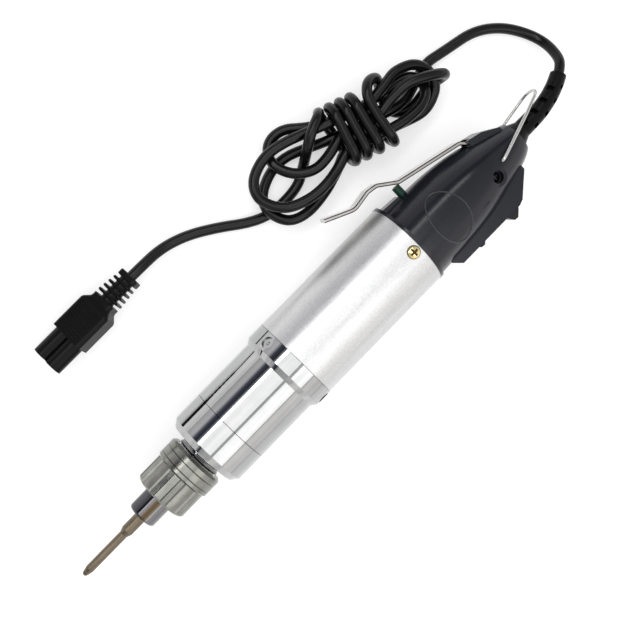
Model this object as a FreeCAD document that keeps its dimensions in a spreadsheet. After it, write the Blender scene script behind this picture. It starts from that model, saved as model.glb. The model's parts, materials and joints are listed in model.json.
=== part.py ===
import FreeCAD, Part
import math
import os
import re

import Sketcher
from FreeCAD import Placement, Rotation, Vector

# An electric screwdriver lying on a table with its cord tied in a hank.
# Millimetres. +X runs along the spindle to the bit, +Z is up, the switch pod is on +Y
# and the start lever on -Y. The origin is on the spindle axis at the middle of the handle tube.

SIZES = {
    # fits
    "slip_gap": 0.03, "run_gap": 0.05, "free_gap": 0.3,
    # handle tube and collar
    "body_length": 63.9, "body_radius": 19.0, "body_wall": 2.0,
    "collar_length": 7.25, "collar_radius": 19.2, "collar_taper": 2.4, "spigot_depth": 3.2,
    "set_screw_radius": 1.5, "set_screw_recess": 2.5, "recess_depth": 0.9, "set_screw_length": 3.0,
    "body_screw_inset": 3.2, "body_screw_head": 2.8, "body_screw_shank": 1.3, "body_screw_length": 4.6,
    "body_screw_crown": 1.1,
    # gear case
    "case_radius": 17.5, "case_bore": 15.2, "rear_case_length": 27.4, "front_case_length": 15.4,
    "case_chamfer": 2.75, "case_step": 2.0, "partition": 2.6, "case_front_wall": 4.0,
    "nose_radius": 9.9, "nose_length": 13.0, "thread_pitch": 1.5, "thread_depth": 0.55,
    "cover_thickness": 2.5, "shaft_hole": 3.4,
    # clutch
    "ball_radius": 1.5, "ball_circle": 14.2, "ball_count": 6, "clutch_plate_thickness": 2.0,
    "clutch_plate_bore": 6.4, "clutch_pin_radius": 1.0, "clutch_pin_circle": 7.8, "clutch_pin_count": 3,
    "washer_thickness": 1.0, "washer_bore": 5.2, "washer_radius": 9.2,
    "bush_radius": 5.7,
    # torque nut
    "nut_gap": 3.45, "nut_length": 20.95, "nut_front_wall": 4.0, "flute_length": 12.0, "nut_waist": 0.7,
    "nut_flute_radius": 11.7, "nut_ring_radius": 12.5, "nut_chamfer": 0.9, "ring_groove": 0.25,
    "ring_edge": 1.6, "ring_pitch": 3.4, "ring_grooves": 2, "flute_half": 1.0, "flute_depth": 0.75,
    "flute_count": 12, "nut_hole": 6.45,
    "torque_wire": 0.5, "torque_turns": 2.5, "torque_coil": 7.4,
    # chuck
    "sleeve_reach": 10.5, "sleeve_tail": 1.6, "sleeve_radius": 6.15, "sleeve_edge": 0.9, "sleeve_lip": 0.5,
    "land_length": 3.0, "spring_chamber": 5.45, "ball_relief": 5.2, "spindle_radius": 4.5,
    "retainer_thickness": 0.8, "chuck_wire": 0.33, "chuck_turns": 3, "chuck_coil": 5.0,
    "chuck_spring_room": 5.2, "lock_ball_radius": 1.2, "lock_ball_circle": 3.25,
    # bit
    "bit_radius": 2.5, "bit_neck_radius": 1.75, "bit_shank_reach": 7.8, "bit_step": 2.0, "bit_neck": 22.0,
    "bit_tip_length": 3.3, "bit_tip_radius": 1.05, "bit_end": 0.45, "bit_depth": 19.0, "bit_groove": 0.6,
    "bit_groove_width": 2.4, "tongue_length": 4.0, "tongue_half": 1.5, "blade_half": 0.45,
    "socket_gap": 0.06,
    # planetary gears
    "gear_module": 0.6, "sun_teeth": 12, "planet_teeth": 15, "ring_teeth": 42, "planet_count": 3,
    "pressure_angle": 25.0, "tooth_addendum": 0.8, "tooth_dedendum": 1.05, "tooth_play": 0.12,
    "gear_width": 8.0, "carrier_thickness": 2.4, "carrier_radius": 11.4, "planet_pin": 1.5,
    "pin_tail": 0.4, "stage_gap": 0.4, "ring_end_gap": 0.1,
    # motor
    "motor_clearance": 3.65, "can_wall": 1.3, "magnet_thickness": 3.4, "magnet_overhang": 3.0,
    "magnet_arc": 130.0, "air_gap": 0.6, "armature_slots": 9, "slot_radius": 1.5, "shaft_radius": 2.0,
    "commutator_radius": 4.5, "commutator_length": 7.0, "bearing_radius": 5.5, "bearing_width": 4.0,
    "end_plate": 3.0, "fan_radius": 12.0, "fan_width": 3.0, "fan_blades": 8, "blade_thickness": 1.0,
    "brush_width": 3.0, "shaft_tail": 1.0, "plate_lip": 1.0, "brush_arm": 9.0, "winding_length": 3.0,
    "commutator_gap": 1.2,
    # rear cap
    "cap_wall": 2.0, "lip_length": 1.4, "lip_radius": 19.2, "cap_spigot": 6.0, "cap_end_wall": 2.5,
    "rail_front": 1.8, "rail_half_width": 3.0, "rail_height": 17.3, "rail_gap": 2.4, "rail_fall": 0.6,
    "screw_place": 42.6, "screw_side": 4.4, "screw_recess": 2.6, "screw_radius": 1.4, "screw_sink": 5.2,
    "screw_head": 2.2, "screw_crown": 1.0, "screw_tip_gap": 1.0, "boss_radius": 4.0, "screw_seat": 4.5,
    "boss_share": 0.9, "post_share": 0.88, "post_half": 2.0, "block_post_low": 6.0, "block_post_high": 9.0,
    "micro_post_low": 4.5, "micro_post_high": 7.5,
    # switch pod and rocker
    "pod_front": 7.2, "pod_rise": 3.4, "pod_face": 20.7, "pod_half_width": 7.0, "pod_flat_end": 43.4,
    "pod_tail_inset": 7.4, "pod_bevel": 2.4, "pod_drop": 0.9, "pod_wall": 2.0, "pin_hole_wall": 0.8,
    "pin_end_gap": 0.2, "rocker_middle": 31.2, "rocker_half_length": 12.6, "rocker_half_width": 4.6,
    "rocker_tilt": 6.5, "rocker_crown": 23.3, "rocker_skirt": 15.4, "rocker_end_gap": 0.4,
    "rocker_face_drop": 0.5, "rocker_heel": 0.6, "rocker_axis": 17.4, "rocker_pin_radius": 1.0,
    "ridge_place": 8.9, "ridge_half_base": 3.4,
    "ridge_half_top": 0.9, "switch_block_length": 13.0, "switch_block_half": 5.4, "switch_block_top": 12.2,
    "switch_block_depth": 9.0,
    # start lever and its push pin
    "lever_thickness": 1.6, "lever_edge": 0.4, "lever_half_width": 4.4, "lever_eye": 1.9,
    "lever_pin_radius": 1.0,
    "lever_pivot_place": 47.6, "lever_pivot_side": 9.3, "slot_reach": 5.0,
    "hood_half_width": 6.0, "hood_front": 2.4, "hood_knee": 4.5, "hood_fall": 1.6, "hood_reach": 11.5,
    "hood_end_side": 7.6, "push_pin_place": 12.8, "push_pin_radius": 1.8, "push_pin_top": 19.8,
    "push_pin_foot": 9.6, "push_pin_collar": 2.1, "push_pin_collar_depth": 11.6, "collar_disc": 0.9,
    "microswitch_length": 13.0, "microswitch_height": 6.4, "microswitch_half": 3.1, "microswitch_drop": 3.6,
    "plunger_radius": 1.0, "plunger_rise": 0.5,
    # bail
    "bail_wire": 0.65, "bail_place": 48.1, "bail_side": 1.0, "bail_length": 34.1, "bail_half_width": 12.6,
    "bail_angle": 14.1, "bail_stub": 3.0, "bail_bend": 1.6, "bail_stand_off": 1.0, "bail_shoulder": 0.62,
    "shoulder_share": 0.78, "apex_share": 0.42, "shoulder_bend": 25.0, "apex_bend": 7.0,
    # strain relief
    "relief_side": 0.8, "relief_base": 6.2, "relief_flare": 4.6, "relief_radius": 4.05, "relief_end": 3.45,
    "relief_straight": 11.0, "relief_bend": 46.0, "relief_turn": 24.0, "relief_dip": 14.0,
    "window_long": 2.1, "window_wide": 3.0, "window_deep": 1.6, "window_count": 4, "window_pitch": 6.1,
    "window_turn": -37.0, "relief_flange": 6.0, "relief_neck": 4.5, "flange_thickness": 1.5,
    # cord
    "cord_radius": 2.2, "hank_x": -57.4, "hank_y": -44.1, "hank_angle": 161.3, "waist_side": -0.6,
    "column_pitch": 6.5, "row_low": 7.1, "row_pitch": 4.85, "waist_left": -12.6, "waist_right": 1.5,
    "wrap_turns": 4, "wrap_pitch": 4.72, "wrap_top": 1.0, "wrap_drift": 5.2, "drift_fade": 0.55,
    "wrap_half_width": 11.9, "wrap_corner": 5.6, "table_gap": 0.05,
    # plug
    "plug_x": 71.5, "plug_y": -68.2, "plug_roll": 25.0, "plug_width": 15.2, "plug_height": 10.6,
    "plug_length": 17.2, "plug_corner": 1.6, "nose_reach": 12.6, "lobe_radius": 3.9, "lobe_spacing": 6.4,
    "contact_spacing": 6.4, "contact_bore": 1.15, "contact_wall": 0.4, "contact_depth": 9.0,
    "contact_set_back": 0.8, "plug_neck": 3.4, "neck_width": 10.4, "neck_height": 8.6, "plug_shoulder": 2.0,
    "plug_ribs": 11, "plug_rib_pitch": 1.35, "plug_rib_depth": 0.3, "rib_inset": 2.0,
    "plug_discs": 4, "disc_gap": 1.3, "disc_pitch": 2.45, "disc_thickness": 1.2, "disc_width": 10.6,
    "disc_height": 8.4, "disc_shrink": 0.4, "disc_edge": 0.35, "plug_core": 3.1, "end_collar": 2.6,
}

# The cap's cross-section at each station behind the handle tube:
# station, reach to the lever side, reach to the switch side, reach to each flank.
CAP_SECTIONS = [
    (1.4, 15.6, 18.4, 18.6),
    (14.0, 15.6, 17.9, 18.1),
    (26.0, 15.0, 17.1, 17.4),
    (38.0, 13.2, 15.4, 15.9),
    (50.0, 10.1, 12.7, 12.9),
    (58.6, 7.5, 10.4, 10.3),
    (62.2, 6.3, 8.6, 8.6),
]
for number, section in enumerate(CAP_SECTIONS, 1):
    for label, value in zip(("cap_station", "cap_lever", "cap_switch", "cap_flank"), section):
        SIZES[f"{label}_{number}"] = value
CAP_LAST = len(CAP_SECTIONS)

# Stations along the spindle axis, each built on the one before it.
PLACES = {
    "body_front": "body_length / 2",
    "body_rear": "-body_length / 2",
    "body_bore": "body_radius - body_wall",
    "table": "-max(collar_radius; lip_radius)",
    "collar_front": "body_front + collar_length",
    "case_shoulder": "collar_front + collar_taper",
    "case_seam": "case_shoulder + rear_case_length",
    "case_front": "case_seam + front_case_length",
    "nose_front": "case_front + nose_length",
    "spigot_rear": "body_front - spigot_depth",
    "spigot_radius": "body_bore - slip_gap",
    "partition_front": "case_seam + partition",
    "ball_centre": "case_seam + partition - ball_radius + slip_gap",
    "plate_rear": "ball_centre + ball_radius + slip_gap",
    "plate_front": "plate_rear + clutch_plate_thickness",
    "pin_front": "nose_front + free_gap",
    "push_front": "pin_front + washer_thickness",
    "nut_rear": "case_front + nut_gap",
    "nut_front": "nut_rear + nut_length",
    "nut_wall_rear": "nut_front - nut_front_wall",
    "seat_rear": "nut_wall_rear - washer_thickness",
    "nut_bore": "nose_radius + run_gap",
    "sleeve_front": "nut_front + sleeve_reach",
    "sleeve_rear": "nut_front - sleeve_tail",
    "spindle_front": "sleeve_front - sleeve_lip",
    "retainer_rear": "spindle_front - retainer_thickness",
    "chamber_rear": "retainer_rear - chuck_spring_room",
    "land_rear": "chamber_rear - land_length",
    "lock_ball_x": "land_rear + land_length / 2",
    "bit_step_rear": "sleeve_front + bit_shank_reach",
    "bit_tip": "bit_step_rear + bit_step + bit_neck",
    "bit_rear": "sleeve_front - bit_depth",
    "tongue_front": "bit_rear + tongue_length",
    "planet_circle": "gear_module * (sun_teeth + planet_teeth) / 2",
    "carrier_2_front": "case_seam - stage_gap",
    "carrier_2_rear": "carrier_2_front - carrier_thickness",
    "planet_2_front": "carrier_2_rear - stage_gap",
    "planet_2_rear": "planet_2_front - gear_width",
    "carrier_1_front": "planet_2_rear - stage_gap - pin_tail",
    "carrier_1_rear": "carrier_1_front - carrier_thickness",
    "planet_1_front": "carrier_1_rear - stage_gap",
    "planet_1_rear": "planet_1_front - gear_width",
    "ring_front": "case_seam - ring_end_gap",
    "ring_rear": "planet_1_rear - pin_tail - stage_gap",
    "cover_rear": "ring_rear - cover_thickness",
    "can_radius": "body_bore - run_gap",
    "can_front": "spigot_rear - run_gap",
    "can_rear": "body_rear + cap_spigot + motor_clearance",
    "magnet_outer": "can_radius - can_wall - slip_gap",
    "magnet_inner": "magnet_outer - magnet_thickness",
    "armature_radius": "magnet_inner - air_gap",
    "can_inner_front": "can_front - can_wall",
    "front_bearing_rear": "can_inner_front - bearing_width",
    "fan_front": "front_bearing_rear - free_gap",
    "fan_rear": "fan_front - fan_width",
    "armature_front": "fan_rear - winding_length - 2 * free_gap",
    "commutator_rear": "can_rear + bearing_width + plate_lip + commutator_gap",
    "commutator_front": "commutator_rear + commutator_length",
    "armature_rear": "commutator_front + winding_length + 2 * free_gap",
    "magnet_front": "armature_front + magnet_overhang",
    "magnet_rear": "armature_rear - magnet_overhang",
    "plate_inner": "can_rear + end_plate",
    "brush_x": "commutator_rear + commutator_length / 2",
    "shaft_rear": "can_rear - shaft_tail",
    "cap_front": "body_rear",
    "cap_length": f"cap_station_{CAP_LAST}",
    "cap_end": "cap_front - cap_length",
    "pod_tail": "cap_length - pod_tail_inset",
    "body_screw_x": "body_rear + body_screw_inset",
}

doc = FreeCAD.newDocument("ElectricScrewdriver")
sheet = doc.addObject("Spreadsheet::Sheet", "Sizes")
for row, (name, value) in enumerate(SIZES.items(), 1):
    sheet.set(f"A{row}", name)
    sheet.set(f"B{row}", str(value))
    sheet.setAlias(f"B{row}", name)
doc.recompute()


def bound(text):
    """Write an expression on size and place names as the document's own expression."""
    def owner(match):
        word = match.group(0)
        if word in SIZES:
            return "Sizes." + word
        return "Places." + word if word in PLACES else word
    return re.sub(r"[A-Za-z_]\w*", owner, text)


places = doc.addObject("App::VarSet", "Places")
for name, text in PLACES.items():
    places.addProperty("App::PropertyFloat", name, "Stations")
    places.setExpression(name, bound(text))
doc.recompute()


def get(name):
    """A size or a place as a number, read from the document."""
    return sheet.get(name) if name in SIZES else getattr(places, name)


class Dimensions:
    """Reads a size or a place by its own name, so that dim.body_radius is its number."""

    def __getattr__(self, name):
        return get(name)


dim = Dimensions()


NODES = []


def keep(node, label):
    """Name a finished sub-part, so that it is checked and written."""
    node.Label = label
    NODES.append(node)
    return node


def solid(label, shape):
    """A sub-part whose shape is made here from the sheet's sizes."""
    node = doc.addObject("Part::Feature", label)
    node.Shape = shape
    return keep(node, label)


def origin_part(body, role):
    return next(item for item in body.Origin.OriginFeatures if item.Role == role)


def sketch_on(body, role, offset="0"):
    """An empty sketch on one of the body's own planes, moved along the plane's normal."""
    sketch = body.newObject("Sketcher::SketchObject", body.Name + "Sketch")
    sketch.AttachmentSupport = (origin_part(body, role), [""])
    sketch.MapMode = "FlatFace"
    sketch.setExpression("AttachmentOffset.Base.z", bound(offset))
    return sketch


def draw_outline(sketch, corners):
    """Close straight edges through corners whose two coordinates are expressions."""
    count = len(corners)
    turns = [2 * math.pi * i / count for i in range(count)]
    ring = [Vector(math.cos(turn), math.sin(turn), 0) for turn in turns]
    for i in range(count):
        sketch.addGeometry(Part.LineSegment(ring[i], ring[(i + 1) % count]))
    for i in range(count):
        sketch.addConstraint(Sketcher.Constraint("Coincident", i, 2, (i + 1) % count, 1))
    for i, corner in enumerate(corners):
        for kind, text in zip(("DistanceX", "DistanceY"), corner):
            index = sketch.addConstraint(Sketcher.Constraint(kind, i, 1, 1.0))
            sketch.setExpression(f"Constraints[{index}]", bound(text))


def draw_circle(sketch, across, up, radius):
    sketch.addGeometry(Part.Circle(Vector(1, 1, 0), Vector(0, 0, 1), 1.0))
    for kind, text in (("DistanceX", across), ("DistanceY", up)):
        index = sketch.addConstraint(Sketcher.Constraint(kind, 0, 3, 1.0))
        sketch.setExpression(f"Constraints[{index}]", bound(text))
    index = sketch.addConstraint(Sketcher.Constraint("Radius", 0, 1.0))
    sketch.setExpression(f"Constraints[{index}]", bound(radius))


def turned(label, corners):
    """A piece turned about the spindle axis: corners are (station, radius) expressions."""
    body = doc.addObject("PartDesign::Body", label)
    sketch = sketch_on(body, "XY_Plane")
    draw_outline(sketch, corners)
    turn = body.newObject("PartDesign::Revolution", label + "Turn")
    turn.Profile = sketch
    turn.ReferenceAxis = (sketch, ["H_Axis"])
    turn.Angle = 360.0
    return keep(body, label)


def repeat_round(body, feature, count):
    """Repeat a feature evenly about the spindle axis."""
    pattern = body.newObject("PartDesign::PolarPattern", feature.Name + "Round")
    pattern.Originals = [feature]
    pattern.Axis = (origin_part(body, "X_Axis"), [""])
    pattern.Angle = 360.0
    pattern.setExpression("Occurrences", bound(count))
    body.Tip = pattern


def cut_along(body, sketch, length, count="", forward=False):
    """Pocket a sketch along the axis, backwards unless told forward, and repeat it round."""
    pocket = body.newObject("PartDesign::Pocket", body.Name + "Cut")
    pocket.Profile = sketch
    pocket.setExpression("Length", bound(length))
    pocket.Reversed = forward
    body.Tip = pocket
    if count:
        repeat_round(body, pocket, count)


def drill_along(body, at, length, radius, circle, count):
    """Drill holes along the axis on a circle, backwards from a station."""
    sketch = sketch_on(body, "YZ_Plane", at)
    draw_circle(sketch, circle, "0", radius)
    cut_along(body, sketch, length, count)


def ring_corners(rear, front, inner, outer):
    return [(rear, inner), (rear, outer), (front, outer), (front, inner)]


def cylinder(radius, start, along):
    return Part.makeCylinder(radius, along.Length, start, along)


def box_between(low, high):
    size = Vector(*high) - Vector(*low)
    return Part.makeBox(size.x, size.y, size.z, Vector(*low))


def round_place(radius, degrees, station):
    """A point at a station, a radius from the axis, turned from +Z towards +Y."""
    turn = math.radians(degrees)
    return Vector(station, radius * math.sin(turn), radius * math.cos(turn))


def outward(degrees):
    return round_place(1.0, degrees, 0.0)


def along_path(points, radii):
    """Straight runs through points, joined at each inner point by a tangent arc of a given radius."""
    edges = []
    last = points[0]
    for before, corner, after, radius in zip(points, points[1:], points[2:], radii):
        to_before = (before - corner).normalize()
        to_after = (after - corner).normalize()
        half = to_before.getAngle(to_after) / 2
        reach = radius / math.tan(half)
        start = corner + to_before * reach
        end = corner + to_after * reach
        inward = (to_before + to_after).normalize()
        middle = corner + inward * (radius / math.sin(half) - radius)
        if (start - last).Length > 1e-6:
            edges.append(Part.LineSegment(last, start).toShape())
        edges.append(Part.Arc(start, middle, end).toShape())
        last = end
    edges.append(Part.LineSegment(last, points[-1]).toShape())
    return Part.Wire(edges)


def round_section(start, along, radius):
    return Part.Wire([Part.Circle(start, along, radius).toShape()])


def swept(path, section):
    return path.makePipeShell([section], True, False)


def wire_tube(points, radii, radius):
    path = along_path(points, radii)
    return swept(path, round_section(points[0], points[1] - points[0], radius))


def biarc(start, start_way, end, end_way):
    """Two arcs, or one line, from a point and direction to the next."""
    chord = end - start
    ways = start_way + end_way
    square = 2 * (start_way.dot(end_way) - 1)
    middle_term = chord.dot(ways)
    if abs(square) < 1e-9:
        if chord.cross(start_way).Length < 1e-6:
            return [Part.LineSegment(start, end).toShape()]
        reach = chord.dot(chord) / (2 * middle_term)
    else:
        root = math.sqrt(middle_term ** 2 - square * chord.dot(chord))
        reach = (middle_term - root) / square
    first = start + start_way * reach
    second = end - end_way * reach
    joint = (first + second) * 0.5
    edges = []
    for a, way, b in ((start, start_way, joint), (joint, (second - first).normalize(), end)):
        if (b - a).cross(way).Length < 1e-6:
            edges.append(Part.LineSegment(a, b).toShape())
            continue
        arc_end_way = way * -1 + (b - a) * (2 * way.dot(b - a) / (b - a).dot(b - a))
        bend = (way - arc_end_way).normalize()
        half = way.getAngle(arc_end_way) / 2
        radius = (b - a).Length / (2 * math.sin(half))
        middle = (a + b) * 0.5 + bend * (radius * (1 - math.cos(half)))
        edges.append(Part.Arc(a, middle, b).toShape())
    return edges


def wound_path(stations):
    """One smooth line of biarcs through (point, direction) stations."""
    edges = []
    for (start, way), (end, end_way) in zip(stations, stations[1:]):
        edges += biarc(start, way, end, end_way)
    return Part.Wire(edges)


def wound_tube(stations, radius):
    path = wound_path(stations)
    return swept(path, round_section(stations[0][0], stations[0][1], radius)), path


def coil_spring(rear, front, coil, wire, turns):
    """A coil spring about the spindle axis, its wire's ends just inside the two faces."""
    first = rear + wire
    pitch = (front - wire - first) / turns
    slope = Vector(pitch, 2 * math.pi * coil, 0)
    stations = []
    for quarter in range(int(4 * turns) + 1):
        turn = quarter * math.pi / 2
        point = Vector(first + pitch * quarter / 4, coil * math.cos(turn), coil * math.sin(turn))
        way = Vector(slope.x, -slope.y * math.sin(turn), slope.y * math.cos(turn)).normalize()
        stations.append((point, way))
    return wound_tube(stations, wire)[0]


def gear_outline(teeth, addendum, dedendum, play):
    """Corners of an involute gear: a tooth stands on the first axis; play thins each tooth."""
    flank_count = 5
    pitch_radius = dim.gear_module * teeth / 2
    angle = math.radians(dim.pressure_angle)
    base = pitch_radius * math.cos(angle)
    tip = pitch_radius + addendum
    root = pitch_radius - dedendum
    half_tooth = math.pi / (2 * teeth) - play / (4 * pitch_radius) + math.tan(angle) - angle
    low = max(base, root)
    flank = []
    for i in range(flank_count):
        radius = low + (tip - low) * i / (flank_count - 1)
        roll = math.acos(min(1.0, base / radius))
        flank.append((radius, half_tooth - (math.tan(roll) - roll)))
    if root < base:
        flank.insert(0, (root, flank[0][1]))
    corners = []
    for tooth in range(teeth):
        centre = 2 * math.pi * tooth / teeth
        corners += [(radius, centre - spread) for radius, spread in flank]
        corners += [(radius, centre + spread) for radius, spread in reversed(flank)]
    return corners


def gear_prism(corners, rear, front, middle=(0.0, 0.0), turn=0.0):
    """Extrude a gear's corners along the spindle axis, about a centre across it."""
    points = []
    for radius, angle in corners:
        across = middle[0] + radius * math.cos(angle + turn)
        up = middle[1] + radius * math.sin(angle + turn)
        points.append(Vector(rear, across, up))
    face = Part.Face(Part.makePolygon(points + points[:1]))
    return face.extrude(Vector(front - rear, 0, 0))


TOOTH_TIP = dim.gear_module * dim.tooth_addendum
TOOTH_ROOT = dim.gear_module * dim.tooth_dedendum


def outer_gear(teeth, rear, front, middle=(0.0, 0.0), turn=0.0):
    corners = gear_outline(int(teeth), TOOTH_TIP, TOOTH_ROOT, dim.tooth_play)
    return gear_prism(corners, rear, front, middle, turn)


def planet_turns():
    count = int(dim.planet_count)
    return [2 * math.pi * i / count for i in range(count)]


def planet_middle(turn):
    return dim.planet_circle * math.cos(turn), dim.planet_circle * math.sin(turn)


def make_bit():
    body = turned("driver_bit", [
        ("bit_rear", "0"), ("bit_rear", "bit_radius"),
        ("lock_ball_x - bit_groove_width / 2", "bit_radius"),
        ("lock_ball_x - bit_groove_width / 2 + bit_groove", "bit_radius - bit_groove"),
        ("lock_ball_x + bit_groove_width / 2 - bit_groove", "bit_radius - bit_groove"),
        ("lock_ball_x + bit_groove_width / 2", "bit_radius"),
        ("bit_step_rear", "bit_radius"), ("bit_step_rear + bit_step", "bit_neck_radius"),
        ("bit_tip - bit_tip_length", "bit_neck_radius"), ("bit_tip - bit_end", "bit_tip_radius"),
        ("bit_tip", "bit_tip_radius - bit_end"), ("bit_tip", "0")])
    quarter = sketch_on(body, "YZ_Plane", "bit_tip")
    draw_outline(quarter, [("blade_half", "blade_half"), ("bit_radius", "blade_half"),
                           ("bit_radius", "bit_radius"), ("blade_half", "bit_radius")])
    cut_along(body, quarter, "bit_tip_length", "4")
    flat = sketch_on(body, "YZ_Plane", "bit_rear")
    draw_outline(flat, [("-bit_radius", "tongue_half"), ("bit_radius", "tongue_half"),
                        ("bit_radius", "bit_radius"), ("-bit_radius", "bit_radius")])
    cut_along(body, flat, "tongue_length", "2", forward=True)


def make_chuck():
    body = turned("spindle", [
        ("carrier_2_rear", "0"), ("carrier_2_rear", "carrier_radius"),
        ("carrier_2_front", "carrier_radius"), ("carrier_2_front", "spindle_radius"),
        ("spindle_front", "spindle_radius"),
        ("spindle_front", "bit_radius + socket_gap"), ("tongue_front", "bit_radius + socket_gap"),
        ("tongue_front", "0")])
    slot = sketch_on(body, "YZ_Plane", "tongue_front")
    half = "tongue_half + socket_gap"
    draw_outline(slot, [("-bit_radius", f"-({half})"), ("bit_radius", f"-({half})"),
                        ("bit_radius", half), ("-bit_radius", half)])
    cut_along(body, slot, "tongue_length + socket_gap")
    drill_along(body, "carrier_2_front", "carrier_thickness", "planet_pin + slip_gap",
                "planet_circle", "planet_count")
    ball_hole = sketch_on(body, "XY_Plane")
    draw_circle(ball_hole, "lock_ball_x", "0", "lock_ball_radius + slip_gap")
    through = body.newObject("PartDesign::Pocket", "SpindleBallHole")
    through.Profile = ball_hole
    through.Type = "ThroughAll"
    through.Midplane = True
    body.Tip = through
    balls = [Part.makeSphere(dim.lock_ball_radius, Vector(dim.lock_ball_x, 0, side * dim.lock_ball_circle))
             for side in (-1, 1)]
    solid("lock_balls", Part.makeCompound(balls))
    turned("chuck_retainer", ring_corners("retainer_rear", "spindle_front", "spindle_radius + slip_gap",
                                          "spring_chamber - run_gap"))
    turned("chuck_sleeve", [
        ("sleeve_rear", "ball_relief"), ("sleeve_rear", "sleeve_radius"),
        ("sleeve_front - sleeve_edge", "sleeve_radius"),
        ("sleeve_front - sleeve_edge / 3", "sleeve_radius - sleeve_edge / 3"),
        ("sleeve_front", "spring_chamber"), ("chamber_rear", "spring_chamber"),
        ("chamber_rear", "spindle_radius + run_gap"), ("land_rear", "spindle_radius + run_gap"),
        ("land_rear - (ball_relief - spindle_radius)", "ball_relief")])
    solid("chuck_spring", coil_spring(dim.chamber_rear, dim.retainer_rear, dim.chuck_coil,
                                      dim.chuck_wire, dim.chuck_turns))


def make_torque_nut():
    groove = "nut_ring_radius - ring_groove"
    ring_front = "nut_front - flute_length - nut_waist"
    corners = [("nut_rear", "nut_bore"), ("nut_rear", "nut_ring_radius - nut_chamfer"),
               ("nut_rear + nut_chamfer", "nut_ring_radius")]
    for ring in reversed(range(int(dim.ring_grooves))):
        middle = f"{ring_front} - ring_edge - {ring} * ring_pitch"
        corners += [(f"{middle} - ring_groove", "nut_ring_radius"), (middle, groove),
                    (f"{middle} + ring_groove", "nut_ring_radius")]
    corners += [
        (ring_front, "nut_ring_radius"), ("nut_front - flute_length", "nut_flute_radius"),
        ("nut_front - nut_chamfer", "nut_flute_radius"), ("nut_front", "nut_flute_radius - nut_chamfer"),
        ("nut_front", "nut_hole"), ("nut_wall_rear", "nut_hole"), ("nut_wall_rear", "nut_bore")]
    body = turned("torque_nut", corners)
    flute = sketch_on(body, "YZ_Plane", "nut_front")
    floor = "nut_flute_radius - flute_depth"
    mouth = "nut_flute_radius + flute_depth"
    wide = "flute_half + 2 * flute_depth"
    draw_outline(flute, [(floor, "-flute_half"), (mouth, f"-({wide})"), (mouth, wide),
                         (floor, "flute_half")])
    cut_along(body, flute, "flute_length", "flute_count")
    turned("spring_seat", ring_corners("seat_rear", "nut_wall_rear - slip_gap",
                                       "washer_bore", "washer_radius"))
    solid("torque_spring", coil_spring(dim.push_front, dim.seat_rear, dim.torque_coil,
                                       dim.torque_wire, dim.torque_turns))


def make_gear_case():
    front = turned("gear_case_front", [
        ("case_seam", "spindle_radius + free_gap"), ("case_seam", "case_radius"),
        ("case_front - case_chamfer", "case_radius"), ("case_front", "case_radius - case_step"),
        ("case_front", "nose_radius"), ("nose_front", "nose_radius"), ("nose_front", "bush_radius"),
        ("case_front - case_front_wall", "bush_radius"),
        ("case_front - case_front_wall", "case_bore + free_gap"),
        ("partition_front", "case_bore + free_gap"), ("partition_front", "spindle_radius + free_gap")])
    thread = sketch_on(front, "XY_Plane")
    first = "case_front + thread_pitch"
    draw_outline(thread, [(f"{first} - thread_pitch / 2", "nose_radius"),
                          (first, "nose_radius - thread_depth"),
                          (f"{first} + thread_pitch / 2", "nose_radius"),
                          (first, "nose_radius + thread_depth")])
    groove = front.newObject("PartDesign::Groove", "ThreadGroove")
    groove.Profile = thread
    groove.ReferenceAxis = (thread, ["H_Axis"])
    groove.Angle = 360.0
    rows = front.newObject("PartDesign::LinearPattern", "ThreadRows")
    rows.Originals = [groove]
    rows.Direction = (origin_part(front, "X_Axis"), [""])
    rows.setExpression("Occurrences", bound("floor(nose_length / thread_pitch) - 1"))
    rows.setExpression("Length", bound("thread_pitch * (floor(nose_length / thread_pitch) - 2)"))
    front.Tip = rows
    drill_along(front, "nose_front", "nose_length + case_front_wall", "clutch_pin_radius + run_gap",
                "clutch_pin_circle", "clutch_pin_count")
    drill_along(front, "partition_front", "partition", "ball_radius + run_gap", "ball_circle", "ball_count")
    turned("front_bush", ring_corners("case_front - case_front_wall", "nose_front",
                                      "spindle_radius + run_gap", "bush_radius - slip_gap"))
    turned("push_washer", ring_corners("pin_front", "push_front", "washer_bore", "washer_radius"))
    turned("clutch_plate", ring_corners("plate_rear", "plate_front", "clutch_plate_bore", "case_bore"))
    pins = []
    for i in range(int(dim.clutch_pin_count)):
        turn = 2 * math.pi * i / dim.clutch_pin_count
        start = Vector(dim.plate_front, dim.clutch_pin_circle * math.cos(turn),
                       dim.clutch_pin_circle * math.sin(turn))
        along = Vector(dim.pin_front - dim.plate_front, 0, 0)
        pins.append(cylinder(dim.clutch_pin_radius, start, along))
    solid("clutch_pins", Part.makeCompound(pins))
    solid("clutch_balls", Part.makeCompound([Part.makeSphere(dim.ball_radius, p) for p in ball_centres()]))
    rear = turned("gear_case_rear", [
        ("spigot_rear", "case_bore"), ("spigot_rear", "spigot_radius"), ("case_shoulder", "spigot_radius"),
        ("case_shoulder", "case_radius"), ("case_seam - slip_gap", "case_radius"),
        ("case_seam - slip_gap", "case_bore")])
    turned("gear_case_cover", ring_corners("cover_rear", "ring_rear - slip_gap",
                                           "shaft_hole", "case_bore - slip_gap"))
    return rear


def ball_centres():
    count = int(dim.ball_count)
    return [round_place(dim.ball_circle, 90 - 360 * i / count, dim.ball_centre) for i in range(count)]


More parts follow.
